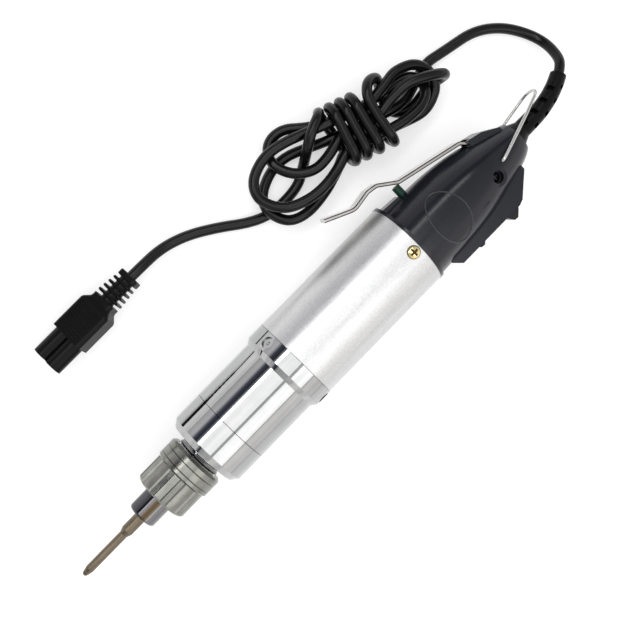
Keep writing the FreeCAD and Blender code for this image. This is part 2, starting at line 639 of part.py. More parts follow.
def drill_outward(body, station, radius, degrees):
    """Drill one hole square to the axis, out through the wall on one side."""
    sketch = sketch_on(body, "XY_Plane")
    sketch.AttachmentOffset = Placement(Vector(), Rotation(Vector(1, 0, 0), -degrees))
    sketch.setExpression("AttachmentOffset.Base.z", None)
    draw_circle(sketch, station, "0", radius)
    hole = body.newObject("PartDesign::Pocket", body.Name + "Hole")
    hole.Profile = sketch
    hole.Type = "ThroughAll"
    hole.Reversed = True
    body.Tip = hole


SET_SCREW_ANGLES = (-51.5, 68.5, 188.5)
BODY_SCREW_ANGLES = (0, 120, 240)


def make_collar(rear_case):
    collar = turned("collar_ring", [
        ("body_front", "body_bore"), ("body_front", "collar_radius"), ("collar_front", "collar_radius"),
        ("case_shoulder - slip_gap", "case_radius + slip_gap"), ("case_shoulder - slip_gap", "body_bore")])
    station = "body_front + collar_length / 2"
    for degrees in SET_SCREW_ANGLES:
        drill_outward(collar, station, "set_screw_recess", degrees)
        drill_outward(rear_case, station, "set_screw_radius + slip_gap", degrees)
    screws = []
    x = dim.body_front + dim.collar_length / 2
    top = dim.collar_radius - dim.recess_depth
    for degrees in SET_SCREW_ANGLES:
        plug = cylinder(dim.set_screw_recess - dim.slip_gap, round_place(dim.body_bore, degrees, x),
                        outward(degrees) * (top - dim.body_bore))
        shank = cylinder(dim.set_screw_radius, round_place(top - dim.set_screw_length, degrees, x),
                         outward(degrees) * dim.set_screw_length)
        middle = round_place(top, degrees, x)
        hexagon = [middle + hex_corner(degrees, i, dim.set_screw_radius * 0.6) for i in range(7)]
        socket = Part.Face(Part.makePolygon(hexagon)).extrude(outward(degrees) * -dim.recess_depth)
        screws.append(plug.fuse(shank).cut(socket).removeSplitter())
    solid("collar_set_screws", Part.makeCompound(screws))


def hex_corner(degrees, i, radius):
    """A corner of a hexagon that faces outward at an angle about the axis."""
    side = Vector(1, 0, 0).cross(outward(degrees))
    turn = math.pi * i / 3
    return Vector(radius * math.cos(turn), 0, 0) + side * (radius * math.sin(turn))


def make_gears():
    ring = cylinder(dim.case_bore - dim.slip_gap, Vector(dim.ring_rear, 0, 0),
                    Vector(dim.ring_front - dim.ring_rear, 0, 0))
    corners = gear_outline(int(dim.ring_teeth), TOOTH_ROOT, TOOTH_TIP, -dim.tooth_play)
    ring = ring.cut(gear_prism(corners, dim.ring_rear, dim.ring_front))
    for centre in ball_centres():
        ring = ring.cut(Part.makeSphere(dim.ball_radius + dim.run_gap, centre))
    solid("ring_gear", ring)
    axis = Vector(1, 0, 0)
    pin = dim.planet_pin
    for stage in (1, 2):
        rear = get(f"planet_{stage}_rear")
        front = get(f"planet_{stage}_front")
        pins = []
        for number, turn in enumerate(planet_turns(), 1):
            middle = planet_middle(turn)
            wheel = outer_gear(dim.planet_teeth, rear, front, middle, turn)
            bore = cylinder(pin + dim.run_gap, Vector(rear, *middle), axis * (front - rear))
            solid(f"planet_gear_{stage}_{number}", wheel.cut(bore))
            pin_rear = rear - dim.pin_tail
            pin_length = get(f"carrier_{stage}_front") - pin_rear
            pins.append(cylinder(pin, Vector(pin_rear, *middle), axis * pin_length))
        solid(f"planet_pins_{stage}", Part.makeCompound(pins))
    plate = cylinder(dim.carrier_radius, Vector(dim.carrier_1_rear, 0, 0), axis * dim.carrier_thickness)
    sun_front = dim.planet_2_front
    plate = plate.fuse(outer_gear(dim.sun_teeth, dim.carrier_1_front, sun_front))
    for turn in planet_turns():
        hole = cylinder(pin + dim.slip_gap, Vector(dim.carrier_1_rear, *planet_middle(turn)),
                        axis * dim.carrier_thickness)
        plate = plate.cut(hole)
    solid("first_carrier", plate)


def make_motor():
    axis = Vector(1, 0, 0)
    turned("motor_can", [
        ("can_rear", "can_radius - can_wall"), ("can_rear", "can_radius"), ("can_front", "can_radius"),
        ("can_front", "shaft_hole"), ("can_inner_front", "shaft_hole"),
        ("can_inner_front", "bearing_radius + slip_gap"),
        ("front_bearing_rear", "bearing_radius + slip_gap"),
        ("front_bearing_rear", "bearing_radius + can_wall"),
        ("can_inner_front", "bearing_radius + can_wall"), ("can_inner_front", "can_radius - can_wall")])
    turned("motor_front_bearing", ring_corners("front_bearing_rear", "can_inner_front",
                                               "shaft_radius + run_gap", "bearing_radius"))
    turned("motor_end_plate", [
        ("can_rear", "bearing_radius + slip_gap"), ("can_rear", "can_radius - can_wall - slip_gap"),
        ("plate_inner", "can_radius - can_wall - slip_gap"), ("plate_inner", "bearing_radius + can_wall"),
        ("can_rear + bearing_width + plate_lip", "bearing_radius + can_wall"),
        ("can_rear + bearing_width + plate_lip", "shaft_hole"),
        ("can_rear + bearing_width", "shaft_hole"),
        ("can_rear + bearing_width", "bearing_radius + slip_gap")])
    turned("motor_rear_bearing", ring_corners("can_rear", "can_rear + bearing_width",
                                              "shaft_radius + run_gap", "bearing_radius"))
    magnets = []
    length = dim.magnet_front - dim.magnet_rear
    for side in (0, 180):
        start = Rotation(axis, side - dim.magnet_arc / 2)
        shell = Part.makeCylinder(dim.magnet_outer, length, Vector(), axis, dim.magnet_arc)
        shell = shell.cut(cylinder(dim.magnet_inner, Vector(), axis * length))
        shell.Placement = Placement(Vector(dim.magnet_rear, 0, 0), start)
        magnets.append(shell)
    solid("motor_magnets", Part.makeCompound(magnets))
    shaft_length = dim.planet_1_rear - dim.shaft_rear
    shaft = cylinder(dim.shaft_radius, Vector(dim.shaft_rear, 0, 0), axis * shaft_length)
    sun = outer_gear(dim.sun_teeth, dim.planet_1_rear, dim.planet_1_front)
    solid("motor_shaft", shaft.fuse(sun))
    armature = turned("armature", ring_corners("armature_rear", "armature_front",
                                               "shaft_radius + slip_gap", "armature_radius"))
    drill_along(armature, "armature_front", "armature_front - armature_rear", "slot_radius",
                "armature_radius - slot_radius / 2", "armature_slots")
    windings = []
    along = axis * dim.winding_length
    for end in (dim.armature_front + dim.free_gap, dim.armature_rear - dim.free_gap - dim.winding_length):
        coil = cylinder(dim.armature_radius - 2 * dim.slot_radius, Vector(end, 0, 0), along)
        hole = cylinder(dim.shaft_radius + dim.slip_gap, Vector(end, 0, 0), along)
        windings.append(coil.cut(hole))
    solid("motor_windings", Part.makeCompound(windings))
    turned("commutator", ring_corners("commutator_rear", "commutator_front",
                                      "shaft_radius + slip_gap", "commutator_radius"))
    hub = cylinder(dim.bearing_radius, Vector(dim.fan_rear, 0, 0), axis * dim.fan_width)
    for i in range(int(dim.fan_blades)):
        thin = dim.blade_thickness / 2
        blade = box_between((dim.fan_rear, 0, -thin), (dim.fan_front, dim.fan_radius, thin))
        blade.rotate(Vector(), axis, 360.0 * i / dim.fan_blades)
        hub = hub.fuse(blade)
    solid("motor_fan", hub.cut(cylinder(dim.shaft_radius + dim.slip_gap, Vector(dim.fan_rear, 0, 0),
                                        axis * dim.fan_width)))
    half = dim.brush_width / 2
    brushes = []
    inner = dim.commutator_radius + dim.run_gap
    outer = dim.can_radius - dim.can_wall - dim.free_gap / 2
    arm = dim.brush_arm
    for side in (0, 180):
        brush = box_between((dim.brush_x - half, -half, inner), (dim.brush_x + half, half, arm))
        brush = brush.fuse(box_between((dim.plate_inner, -half, arm), (dim.brush_x + half, half, outer)))
        brush.rotate(Vector(), axis, side)
        brushes.append(brush)
    solid("carbon_brushes", Part.makeCompound(brushes))


def cross_screw(head, crown, shank, length):
    """A cross-head screw standing on z=0 with its shank below."""
    dome_radius = (head ** 2 + crown ** 2) / (2 * crown)
    dome = Part.makeSphere(dome_radius, Vector(0, 0, crown - dome_radius))
    dome = dome.common(cylinder(head, Vector(), Vector(0, 0, crown)))
    screw = dome.fuse(cylinder(shank, Vector(0, 0, -length), Vector(0, 0, length)))
    arm = head * 0.62
    slit = head * 0.16
    depth = crown * 0.8
    for across, up in ((arm, slit), (slit, arm)):
        screw = screw.cut(box_between((-across, -up, crown - depth), (across, up, crown)))
    return screw.removeSplitter()


def make_body():
    tube = turned("body_tube", ring_corners("body_rear", "body_front", "body_bore", "body_radius"))
    screws = []
    for degrees in BODY_SCREW_ANGLES:
        drill_outward(tube, "body_screw_x", "body_screw_shank + slip_gap", degrees)
        screw = cross_screw(dim.body_screw_head, dim.body_screw_crown, dim.body_screw_shank,
                            dim.body_screw_length)
        seat = round_place(dim.body_radius + dim.slip_gap, degrees, dim.body_screw_x)
        screw.Placement = Placement(seat, Rotation(Vector(0, 0, 1), outward(degrees)))
        screws.append(screw)
    solid("body_screws", Part.makeCompound(screws))


def cap_section(station, lever, switch, flank, inset):
    """Two half ellipses: the lever side, then the switch side, drawn in by the wall where asked."""
    middle = Vector(station, 0, 0)
    edges = []
    for reach, way in ((lever, -1), (switch, 1)):
        across = reach - inset
        up = flank - inset
        if across > up:
            ends = (middle + Vector(0, way * across, 0), middle + Vector(0, 0, way * up))
            angles = (-math.pi / 2, math.pi / 2)
        else:
            ends = (middle + Vector(0, 0, -way * up), middle + Vector(0, way * across, 0))
            angles = (0, math.pi)
        edges.append(Part.ArcOfEllipse(Part.Ellipse(*ends, middle), *angles).toShape())
    return Part.Wire(Part.__sortEdges__(edges))


def cap_form(inset):
    """The cap's outer form, or its hollow when drawn in by a wall."""
    sections = []
    for number in range(1, CAP_LAST + 1):
        station = dim.cap_front - get(f"cap_station_{number}")
        if inset and number == 1:
            station = dim.cap_front + dim.cap_spigot + 1
        if inset and number == CAP_LAST:
            station += dim.cap_end_wall
        reaches = [get(f"{side}_{number}") for side in ("cap_lever", "cap_switch", "cap_flank")]
        sections.append(cap_section(station, *reaches, inset))
    return Part.makeLoft(sections, True, False)


def cap_reach(side, behind):
    """How far the cap reaches to a side at a distance behind the handle tube."""
    for number in range(1, CAP_LAST):
        start = get(f"cap_station_{number}")
        end = get(f"cap_station_{number + 1}")
        if behind <= end:
            share = (behind - start) / (end - start)
            return get(f"{side}_{number}") * (1 - share) + get(f"{side}_{number + 1}") * share
    return get(f"{side}_{CAP_LAST}")


def flat_prism(corners, half_width):
    """Extrude corners given behind the handle tube and across, evenly to both sides of the middle plane."""
    points = [Vector(dim.cap_front - behind, across, -half_width) for behind, across in corners]
    return Part.Face(Part.makePolygon(points + points[:1])).extrude(Vector(0, 0, 2 * half_width))


def cap_point(behind, across, up=0.0):
    return Vector(dim.cap_front - behind, across, up)


def cap_box(behind, across, up):
    """A box from three (low, high) pairs: behind the tube, across and up."""
    front = dim.cap_front
    return box_between((front - behind[1], across[0], up[0]), (front - behind[0], across[1], up[1]))


def hood_corners():
    """The hood that covers the lever's pivot, in outline."""
    pivot = dim.lever_pivot_place
    side = -dim.lever_pivot_side - dim.lever_eye - dim.cap_wall
    front = pivot - dim.hood_front
    rear = pivot + dim.hood_reach
    return [(front, side), (pivot + dim.hood_knee, side + dim.hood_fall), (rear, -dim.hood_end_side),
            (rear, 0), (front, 0)]


def make_cap():
    tall = 2 * dim.body_radius
    pod_end = dim.pod_flat_end
    pod = flat_prism([(dim.pod_front, 0), (dim.pod_front, dim.pod_face - dim.pod_rise),
                      (dim.pod_front + dim.pod_rise, dim.pod_face), (pod_end, dim.pod_face),
                      (pod_end + dim.pod_bevel, dim.pod_face - dim.pod_drop),
                      (dim.pod_tail, cap_reach("cap_switch", dim.pod_tail)), (dim.pod_tail, 0)],
                     dim.pod_half_width)
    rail_rear = dim.push_pin_place - dim.rail_gap
    rail = flat_prism([(dim.rail_front, 0), (dim.rail_front, -dim.rail_height),
                       (rail_rear, -dim.rail_height + dim.rail_fall), (rail_rear, 0)], dim.rail_half_width)
    hood = flat_prism(hood_corners(), dim.hood_half_width)
    outer = cap_form(0).fuse([pod, rail, hood])
    hollow = cap_form(dim.cap_wall)
    pod_inner = dim.pod_half_width - dim.pod_wall
    pod_hollow = cap_box((dim.pod_front + dim.cap_wall, pod_end - dim.cap_wall),
                         (0, dim.pod_face - dim.pod_wall), (-pod_inner, pod_inner))
    shell = outer.cut(hollow).cut(pod_hollow)
    lip = cylinder(dim.lip_radius, cap_point(dim.lip_length, 0),
                   Vector(dim.lip_length - dim.slip_gap, 0, 0))
    spigot = cylinder(dim.body_bore - dim.slip_gap, cap_point(dim.lip_length, 0),
                      Vector(dim.lip_length + dim.cap_spigot, 0, 0))
    mouth = cylinder(dim.body_bore - dim.cap_wall, cap_point(dim.lip_length + 1, 0),
                     Vector(dim.lip_length + dim.cap_spigot + 2, 0, 0))
    shell = shell.fuse([lip.cut(mouth), spigot.cut(mouth)])
    shell = shell.fuse(cap_bosses())
    for opening in cap_openings():
        shell = shell.cut(opening)
    for label, low in (("cap_upper_half", 0), ("cap_lower_half", -tall)):
        half = box_between((dim.cap_end - tall, -tall, low), (dim.body_front, tall, low + tall))
        solid(label, shell.common(half))


def cap_bosses():
    """Posts inside each half that carry the switches and the screw."""
    bosses = []
    posts = [(dim.switch_block_half, dim.rocker_middle, (dim.block_post_low, dim.block_post_high)),
             (dim.microswitch_half, dim.push_pin_place, (-dim.micro_post_high, -dim.micro_post_low))]
    place = dim.screw_place
    for way in (-1, 1):
        for half, middle, across in posts:
            behind = (middle - dim.post_half, middle + dim.post_half)
            low = half + dim.slip_gap
            top = cap_reach("cap_flank", behind[1]) * dim.post_share
            bosses.append(cap_box(behind, across, sorted((way * low, way * top))))
        wall = cap_reach("cap_flank", place) * dim.boss_share
        bosses.append(cylinder(dim.boss_radius, cap_point(place, dim.screw_side), Vector(0, 0, way * wall)))
    return bosses


def cap_openings():
    """What is cut through both halves: lever slot, pin holes, rocker window, screw, bail and cord holes."""
    gap = dim.free_gap
    slot = dim.lever_half_width + gap
    slot_front = dim.lever_pivot_place - dim.slot_reach
    pivot = cap_point(dim.lever_pivot_place, -dim.lever_pivot_side)
    wide = 2 * dim.body_radius
    up = Vector(0, 0, 1)
    eye = dim.lever_eye + gap
    hood_pin = dim.hood_half_width - dim.pin_hole_wall
    pod_pin = dim.pod_half_width - dim.pin_hole_wall
    rocker_half = dim.rocker_half_length + gap
    screw_floor = cap_point(dim.screw_place, dim.screw_side, -dim.screw_seat)
    cuts = [
        cap_box((slot_front, dim.lever_pivot_place + eye),
                (-dim.lever_pivot_side - eye, -dim.lever_pivot_side + eye), (-slot, slot)),
        cap_box((slot_front, dim.lever_pivot_place - gap),
                (-dim.body_radius, -dim.lever_pivot_side), (-slot, slot)),
        cylinder(dim.lever_pin_radius + dim.slip_gap, pivot - up * hood_pin, up * 2 * hood_pin),
        cylinder(dim.push_pin_radius + dim.run_gap, cap_point(dim.push_pin_place, -dim.body_radius),
                 Vector(0, dim.body_radius - dim.push_pin_foot + dim.cap_wall, 0)),
        cap_box((dim.rocker_middle - rocker_half, dim.rocker_middle + rocker_half),
                (dim.switch_block_top, 2 * dim.pod_face),
                (-dim.rocker_half_width - gap, dim.rocker_half_width + gap)),
        cylinder(dim.rocker_pin_radius + dim.run_gap,
                 cap_point(dim.rocker_middle, dim.rocker_axis) - up * pod_pin, up * 2 * pod_pin),
        cylinder(dim.screw_recess, screw_floor + up * (dim.screw_seat + screw_seat_height()), up * wide),
        cylinder(dim.screw_radius + dim.slip_gap, screw_floor, up * (wide + dim.screw_seat)),
        cylinder(dim.relief_neck + dim.slip_gap, cap_point(dim.cap_length + dim.cap_wall, dim.relief_side),
                 Vector(dim.cap_end_wall + 2 * dim.cap_wall, 0, 0)),
        cylinder(dim.relief_flange + dim.slip_gap,
                 cap_point(dim.cap_length - dim.cap_end_wall, dim.relief_side),
                 Vector(dim.flange_thickness + 2 * dim.slip_gap, 0, 0)),
    ]
    for way in (-1, 1):
        bail_root = cap_point(dim.bail_place, dim.bail_side)
        cuts.append(cylinder(dim.bail_wire + dim.run_gap, bail_root, up * (way * wide)))
    for degrees in BODY_SCREW_ANGLES:
        screw_axis = Vector(dim.body_screw_x, 0, 0)
        cuts.append(cylinder(dim.body_screw_shank + dim.slip_gap, screw_axis, outward(degrees) * wide))
    return cuts


def screw_seat_height():
    return cap_reach("cap_flank", dim.screw_place) - dim.screw_sink


def make_cap_fittings():
    up = Vector(0, 0, 1)
    screw = cross_screw(dim.screw_head, dim.screw_crown, dim.screw_radius,
                        screw_seat_height() + dim.screw_seat - dim.screw_tip_gap)
    screw.Placement = Placement(cap_point(dim.screw_place, dim.screw_side, screw_seat_height()), Rotation())
    solid("cap_screw", screw)
    rocker_middle = cap_point(dim.rocker_middle, dim.rocker_axis)
    solid("rocker", rocker_shape(rocker_middle))
    block_top = dim.switch_block_top
    half = dim.switch_block_length / 2
    solid("switch_block", cap_box((dim.rocker_middle - half, dim.rocker_middle + half),
                                  (block_top - dim.switch_block_depth, block_top - dim.slip_gap),
                                  (-dim.switch_block_half, dim.switch_block_half)))
    pivot = cap_point(dim.lever_pivot_place, -dim.lever_pivot_side)
    reach = dim.hood_half_width - dim.pin_hole_wall - dim.pin_end_gap
    solid("lever_pin", cylinder(dim.lever_pin_radius, pivot - up * reach, up * 2 * reach))
    solid("start_lever", lever_shape(pivot))
    foot = cap_point(dim.push_pin_place, -dim.push_pin_foot)
    pin = cylinder(dim.push_pin_radius, foot, Vector(0, dim.push_pin_foot - dim.push_pin_top, 0))
    collar_foot = cap_point(dim.push_pin_place, -dim.push_pin_collar_depth + dim.collar_disc)
    collar = cylinder(dim.push_pin_collar, collar_foot, Vector(0, -dim.collar_disc, 0))
    solid("push_pin", pin.fuse(collar).removeSplitter())
    top = dim.push_pin_foot - dim.microswitch_drop
    half = dim.microswitch_length / 2
    micro = cap_box((dim.push_pin_place - half, dim.push_pin_place + half),
                    (-top, -top + dim.microswitch_height), (-dim.microswitch_half, dim.microswitch_half))
    plunger = cylinder(dim.plunger_radius, cap_point(dim.push_pin_place, -top),
                       Vector(0, -dim.plunger_rise, 0))
    solid("microswitch", micro.fuse(plunger).removeSplitter())


def rocker_shape(middle):
    """The rocker, level about its pin, then tipped to the end of its travel."""
    half = dim.rocker_half_length - dim.rocker_end_gap
    face = dim.pod_face - dim.rocker_face_drop
    skirt = dim.rocker_skirt
    crown = dim.rocker_crown
    place = dim.ridge_place
    outline = [(-half, skirt), (-half, face)]
    for sign in (-1, 1):
        peak = sign * place
        outline += [(peak - dim.ridge_half_base, face), (peak - dim.ridge_half_top, crown),
                    (peak + dim.ridge_half_top, crown), (peak + dim.ridge_half_base, face)]
    heel = skirt - dim.rocker_heel
    outline += [(half, face), (half, skirt), (half / 2, heel), (-half / 2, heel)]
    points = [Vector(middle.x + x, y, -dim.rocker_half_width) for x, y in outline]
    side = Part.Face(Part.makePolygon(points + points[:1]))
    shape = side.extrude(Vector(0, 0, 2 * dim.rocker_half_width))
    reach = Vector(0, 0, dim.pod_half_width - dim.pin_hole_wall - dim.pin_end_gap)
    shape = shape.fuse(cylinder(dim.rocker_pin_radius, middle - reach, reach * 2)).removeSplitter()
    shape.rotate(middle, Vector(0, 0, 1), -dim.rocker_tilt)
    return shape


# The start lever's bends, behind the handle tube and across from the axis, with their radii.
LEVER_BENDS = [((-17.9, -31.1), 0), ((-5.8, -25.6), 6.0), ((2.6, -26.9), 5.0), ((6.9, -26.2), 3.0),
               ((14.4, -20.8), 4.0), ((43.0, -14.3), 2.0)]


def lever_shape(pivot):
    """A bent strip with a rolled eye round its pin."""
    points = [cap_point(behind, across) for (behind, across), _ in LEVER_BENDS]
    points.append(pivot + Vector(0.6, -dim.lever_eye + dim.lever_thickness / 2, 0))
    radii = [radius for _, radius in LEVER_BENDS[1:]]
    path = along_path(points, radii)
    start = points[0]
    way = (points[1] - start).normalize()
    side = Vector(0, 0, 1).cross(way) * (dim.lever_thickness / 2)
    half = Vector(0, 0, dim.lever_half_width)
    side_in = side * (1 - 2 * dim.lever_edge / dim.lever_thickness)
    half_in = half * (1 - dim.lever_edge / dim.lever_half_width)
    corners = [start + side + half_in, start + side_in + half, start - side_in + half, start - side + half_in,
               start - side - half_in, start - side_in - half, start + side_in - half, start + side - half_in]
    strip = swept(path, Part.makePolygon(corners + corners[:1]))
    eye = cylinder(dim.lever_eye, pivot - half, half * 2)
    hole = cylinder(dim.lever_pin_radius + dim.run_gap, pivot - half, half * 2)
    return strip.fuse(eye).cut(hole).removeSplitter()


def make_bail():
    """A wire loop on two stubs, swung towards the lever side."""
    root = cap_point(dim.bail_place, dim.bail_side)
    flank = cap_reach("cap_flank", dim.bail_place) + dim.bail_wire + dim.bail_stand_off
    turn = math.radians(dim.bail_angle)
    way = Vector(-math.cos(turn), -math.sin(turn), 0)
    up = Vector(0, 0, 1)
    shoulder = way * (dim.bail_length * dim.bail_shoulder) + up * (dim.bail_half_width * dim.shoulder_share)
    apex = way * dim.bail_length + up * (dim.bail_half_width * dim.apex_share)
    points = [root + up * (flank - dim.bail_stub), root + up * flank, root + shoulder, root + apex]
    points += [Vector(p.x, p.y, -p.z) for p in reversed(points)]
    radii = [dim.bail_bend, dim.shoulder_bend, dim.apex_bend]
    radii += radii[::-1]
    solid("hanging_bail", wire_tube(points, radii, dim.bail_wire))


def relief_path():
    """The relief's centre line: straight out of the cap, then one bend towards the lever side and down."""
    start = cap_point(dim.cap_length, dim.relief_side)
    straight = dim.relief_straight
    turn = math.radians(dim.relief_turn)
    dip = math.radians(dim.relief_dip)
    way = Vector(-math.cos(turn), -math.sin(turn), 0)
    way = Vector(way.x * math.cos(dip), way.y * math.cos(dip), -math.sin(dip))
    whole = Vector(-1, 0, 0).getAngle(way)
    reach = dim.relief_bend * math.tan(whole / 2)
    corner = start + Vector(-straight - reach, 0, 0)
    return start, corner, corner + way * reach, way


def make_strain_relief():
    start, corner, end, way = relief_path()
    back = Vector(-1, 0, 0)
    whole = back.getAngle(way)
    inward = (way - back).normalize()
    tangent = start + back * dim.relief_straight
    middle = corner + inward * (dim.relief_bend / math.cos(whole / 2) - dim.relief_bend)
    arc = Part.Arc(tangent, middle, end)
    straight = Part.LineSegment(start, tangent)
    path = Part.Wire([straight.toShape(), arc.toShape()])
    body = path.makePipeShell([round_section(start, back, dim.relief_radius),
                               round_section(end, way, dim.relief_end)], True, False)
    flare = Part.makeCone(dim.relief_base, dim.relief_radius, dim.relief_flare, start, back)
    neck = cylinder(dim.relief_neck, start, back * -(dim.cap_end_wall + dim.slip_gap))
    flange = cylinder(dim.relief_flange, start - back * dim.cap_end_wall, back * -dim.flange_thickness)
    shape = body.fuse([flare, neck, flange])
    length = path.Length
    for row in range(2 * int(dim.window_count)):
        along = dim.relief_flare + dim.window_long + row * dim.window_pitch / 2
        if along > length - dim.window_long:
            break
        point, forward = path_point(straight, arc, along)
        for half_turn in (0, 180):
            turn = dim.window_turn + 90 * (row % 2) + half_turn
            shape = shape.cut(window_box(point, forward, turn))
    solid("strain_relief", shape)
    return end, way


def path_point(straight, arc, along):
    """The point and direction a distance along the straight and then the bend."""
    first = straight.length()
    if along <= first:
        return straight.value(straight.FirstParameter + along), Vector(-1, 0, 0)
    edge = arc.toShape()
    parameter = edge.getParameterByLength(along - first)
    return edge.valueAt(parameter), edge.tangentAt(parameter)


def window_box(point, forward, degrees):
    """A window cut into the relief's side, facing outward at an angle about its line."""
    depth = dim.window_deep
    box = box_between((-dim.window_long / 2, -dim.window_wide / 2, dim.relief_end - depth),
                      (dim.window_long / 2, dim.window_wide / 2, 2 * dim.relief_radius))
    box.rotate(Vector(), Vector(1, 0, 0), -degrees)
    box.Placement = Placement(point, Rotation(Vector(-1, 0, 0), forward)).multiply(box.Placement)
    return box


def on_table(height):
    return dim.table + dim.table_gap + height


def cord_tube(label, points):
    """A cord's free stretch: runs joined by arcs as large as they allow."""
    radius = dim.cord_radius
    radii = []
    for before, corner, after in zip(points, points[1:], points[2:]):
        turn = math.pi - (before - corner).getAngle(after - corner)
        shorter = min((before - corner).Length, (after - corner).Length)
        radii.append(0.45 * shorter / math.tan(turn / 2))
    path = along_path(points, radii)
    tube = swept(path, round_section(points[0], points[1] - points[0], radius))
    print(label, "length", round(path.Length, 1), "tightest bend", round(min(radii), 1))
    solid(label, tube)


def hank_point(along, across, height):
    """A point of the hank: along its length, across it, and above the table."""
    turn = math.radians(dim.hank_angle)
    x = dim.hank_x + along * math.cos(turn) + across * math.sin(turn)
    y = dim.hank_y + along * math.sin(turn) - across * math.cos(turn)
    return Vector(x, y, on_table(height))


def hank_way(along, across, height=0.0):
    turn = math.radians(dim.hank_angle)
    x = along * math.cos(turn) + across * math.sin(turn)
    y = along * math.sin(turn) - across * math.cos(turn)
    return Vector(x, y, height).normalize()


# Each turn of the hank: its side, its first strand in the waist and the way that leaves, the places
# it passes as (along, across, height) with the way it heads there, its last strand and the way back in.
LEFT, RIGHT = -1, 1
HANK_TURNS = [
    (LEFT, (0, 0), (-1, 0),
     [((-27.5, -1.7, 4.2), (-1, -0.1, -0.2)), ((-38.0, -1.8, 2.3), (-1, 0.2)),
      ((-48.5, 3.6, 3.1), (-0.75, 0.66, 0.2)), ((-53.4, 11.5, 6.3), (-0.08, 1, 0.35)),
      ((-49.6, 19.3, 7.9), (0.68, 0.73, 0.08)), ((-41.0, 21.8, 8.0), (1, -0.08)),
      ((-29.0, 17.4, 7.7), (0.9, -0.44)), ((-20.5, 11.8, 7.2), (0.82, -0.55))],
     (1, 0), (1, -0.18)),
    (RIGHT, (1, 0), (1, 0),
     [((17.0, 6.2, 7.1), (1, 0.02)), ((26.5, 4.0, 7.4), (0.8, -0.6)), ((32.0, -4.0, 8.8), (0, -1, 0.1)),
      ((28.0, -12.2, 10.4), (-0.8, -0.6, 0.12)), ((18.5, -14.0, 11.4), (-1, 0.02, 0.1)),
      ((10.5, -10.7, 11.95), (-0.94, 0.32))],
     (-1, 1), (-1, 0.2)),
    (LEFT, (-1, 1), (-1, 0),
     [((-27.0, -7.6, 11.3), (-1, -0.05, -0.03)), ((-40.0, -7.4, 10.7), (-1, 0.12)),
      ((-51.2, -2.2, 10.5), (-0.75, 0.66)), ((-55.0, 5.6, 11.0), (0, 1, 0.1)),
      ((-50.0, 13.6, 12.0), (0.75, 0.66, 0.1)), ((-38.5, 16.6, 12.7), (1, -0.02)),
      ((-28.0, 14.4, 12.8), (0.93, -0.36)), ((-20.5, 10.6, 12.2), (0.86, -0.5))],
     (1, 1), (1, -0.18)),
    (RIGHT, (1, 1), (1, 0),
     [((11.0, 5.6, 11.95), (1, -0.1)), ((18.5, 4.0, 11.7), (0.97, -0.25)),
      ((24.6, 0.8, 11.0), (0.75, -0.66, -0.1)), ((26.8, -4.9, 9.4), (-0.06, -1, -0.22)),
      ((20.8, -10.2, 7.8), (-1, -0.06, -0.15)), ((13.0, -9.2, 7.15), (-1, 0.14))],
     (-1, 0), (-1, 0.08)),
    (LEFT, (-1, 0), (-1, 0.02),
     [((-25.0, -9.6, 6.6), (-1, -0.28, -0.06)), ((-33.8, -12.4, 5.4), (-1, 0.02, -0.1)),
      ((-41.4, -9.2, 5.2), (-0.6, 0.8, 0.12)), ((-43.2, -3.2, 6.8), (0.1, 1, 0.35)),
      ((-39.6, 3.2, 8.9), (0.7, 0.7, 0.25)), ((-31.0, 7.0, 10.7), (0.97, 0.15, 0.15)),
      ((-22.0, 4.6, 11.9), (0.92, -0.42, 0.05))],
     (0, 1), (1, -0.22)),
]
# The poking end: over the right loops, round in an upright bend, back below them and up to the wrap.
HANK_POKE = [((11.0, -5.0, 13.6), (0.93, -0.3, 0.3)), ((20.0, -7.6, 16.0), (1, 0.04, 0.08)),
             ((30.0, -6.2, 15.6), (0.97, 0.2, -0.14)), ((37.0, -3.9, 9.2), (0, 0.15, -1)),
             ((31.2, -2.3, 2.7), (-0.98, 0.25, -0.06)), ((21.0, 2.2, 2.25), (-0.95, 0.3)),
             ((10.6, -1.8, 2.25), (-0.25, -0.97)), ((11.2, -8.8, 2.3), (0.08, -1, 0.04)),
             ((10.7, -14.4, 6.9), (-0.28, -0.35, 0.9)), ((7.2, -15.3, 11.6), (-0.75, 0.05, 0.66)),
             ((2.7, -12.3, 15.8), (-0.42, 0.77, 0.48)), ((1.6, -6.6, 16.65), (0.1, 1))]
POKE_LEAVING = (1, -0.16)
HANK_ENTRY = [((36.0, -11.8, 2.25), (-1, 0.12)), ((26.5, -6.6, 2.6), (-0.85, 0.5, 0.12)),
              ((18.5, -1.8, 4.8), (-0.92, 0.3, 0.3)), ((9.0, -0.6, 7.1), (-1, 0, 0.02))]


def hank_passes(passes):
    return [(hank_point(*point), hank_way(*way)) for point, way in passes]


def waist_station(side, strand, way):
    column, row = strand
    along = dim.waist_left if side == LEFT else dim.waist_right
    across = dim.waist_side + column * dim.column_pitch
    return hank_point(along, across, dim.row_low + row * dim.row_pitch), hank_way(*way)


def hank_stations():
    """Where the cord passes and which way it heads, from the lead to the start of the wrap."""
    stations = hank_passes(HANK_ENTRY)
    for side, first, leaving, passes, last, returning in HANK_TURNS:
        stations.append(waist_station(side, first, leaving))
        stations += hank_passes(passes)
        stations.append(waist_station(side, last, returning))
    stations.append(waist_station(RIGHT, last, POKE_LEAVING))
    return stations + hank_passes(HANK_POKE)


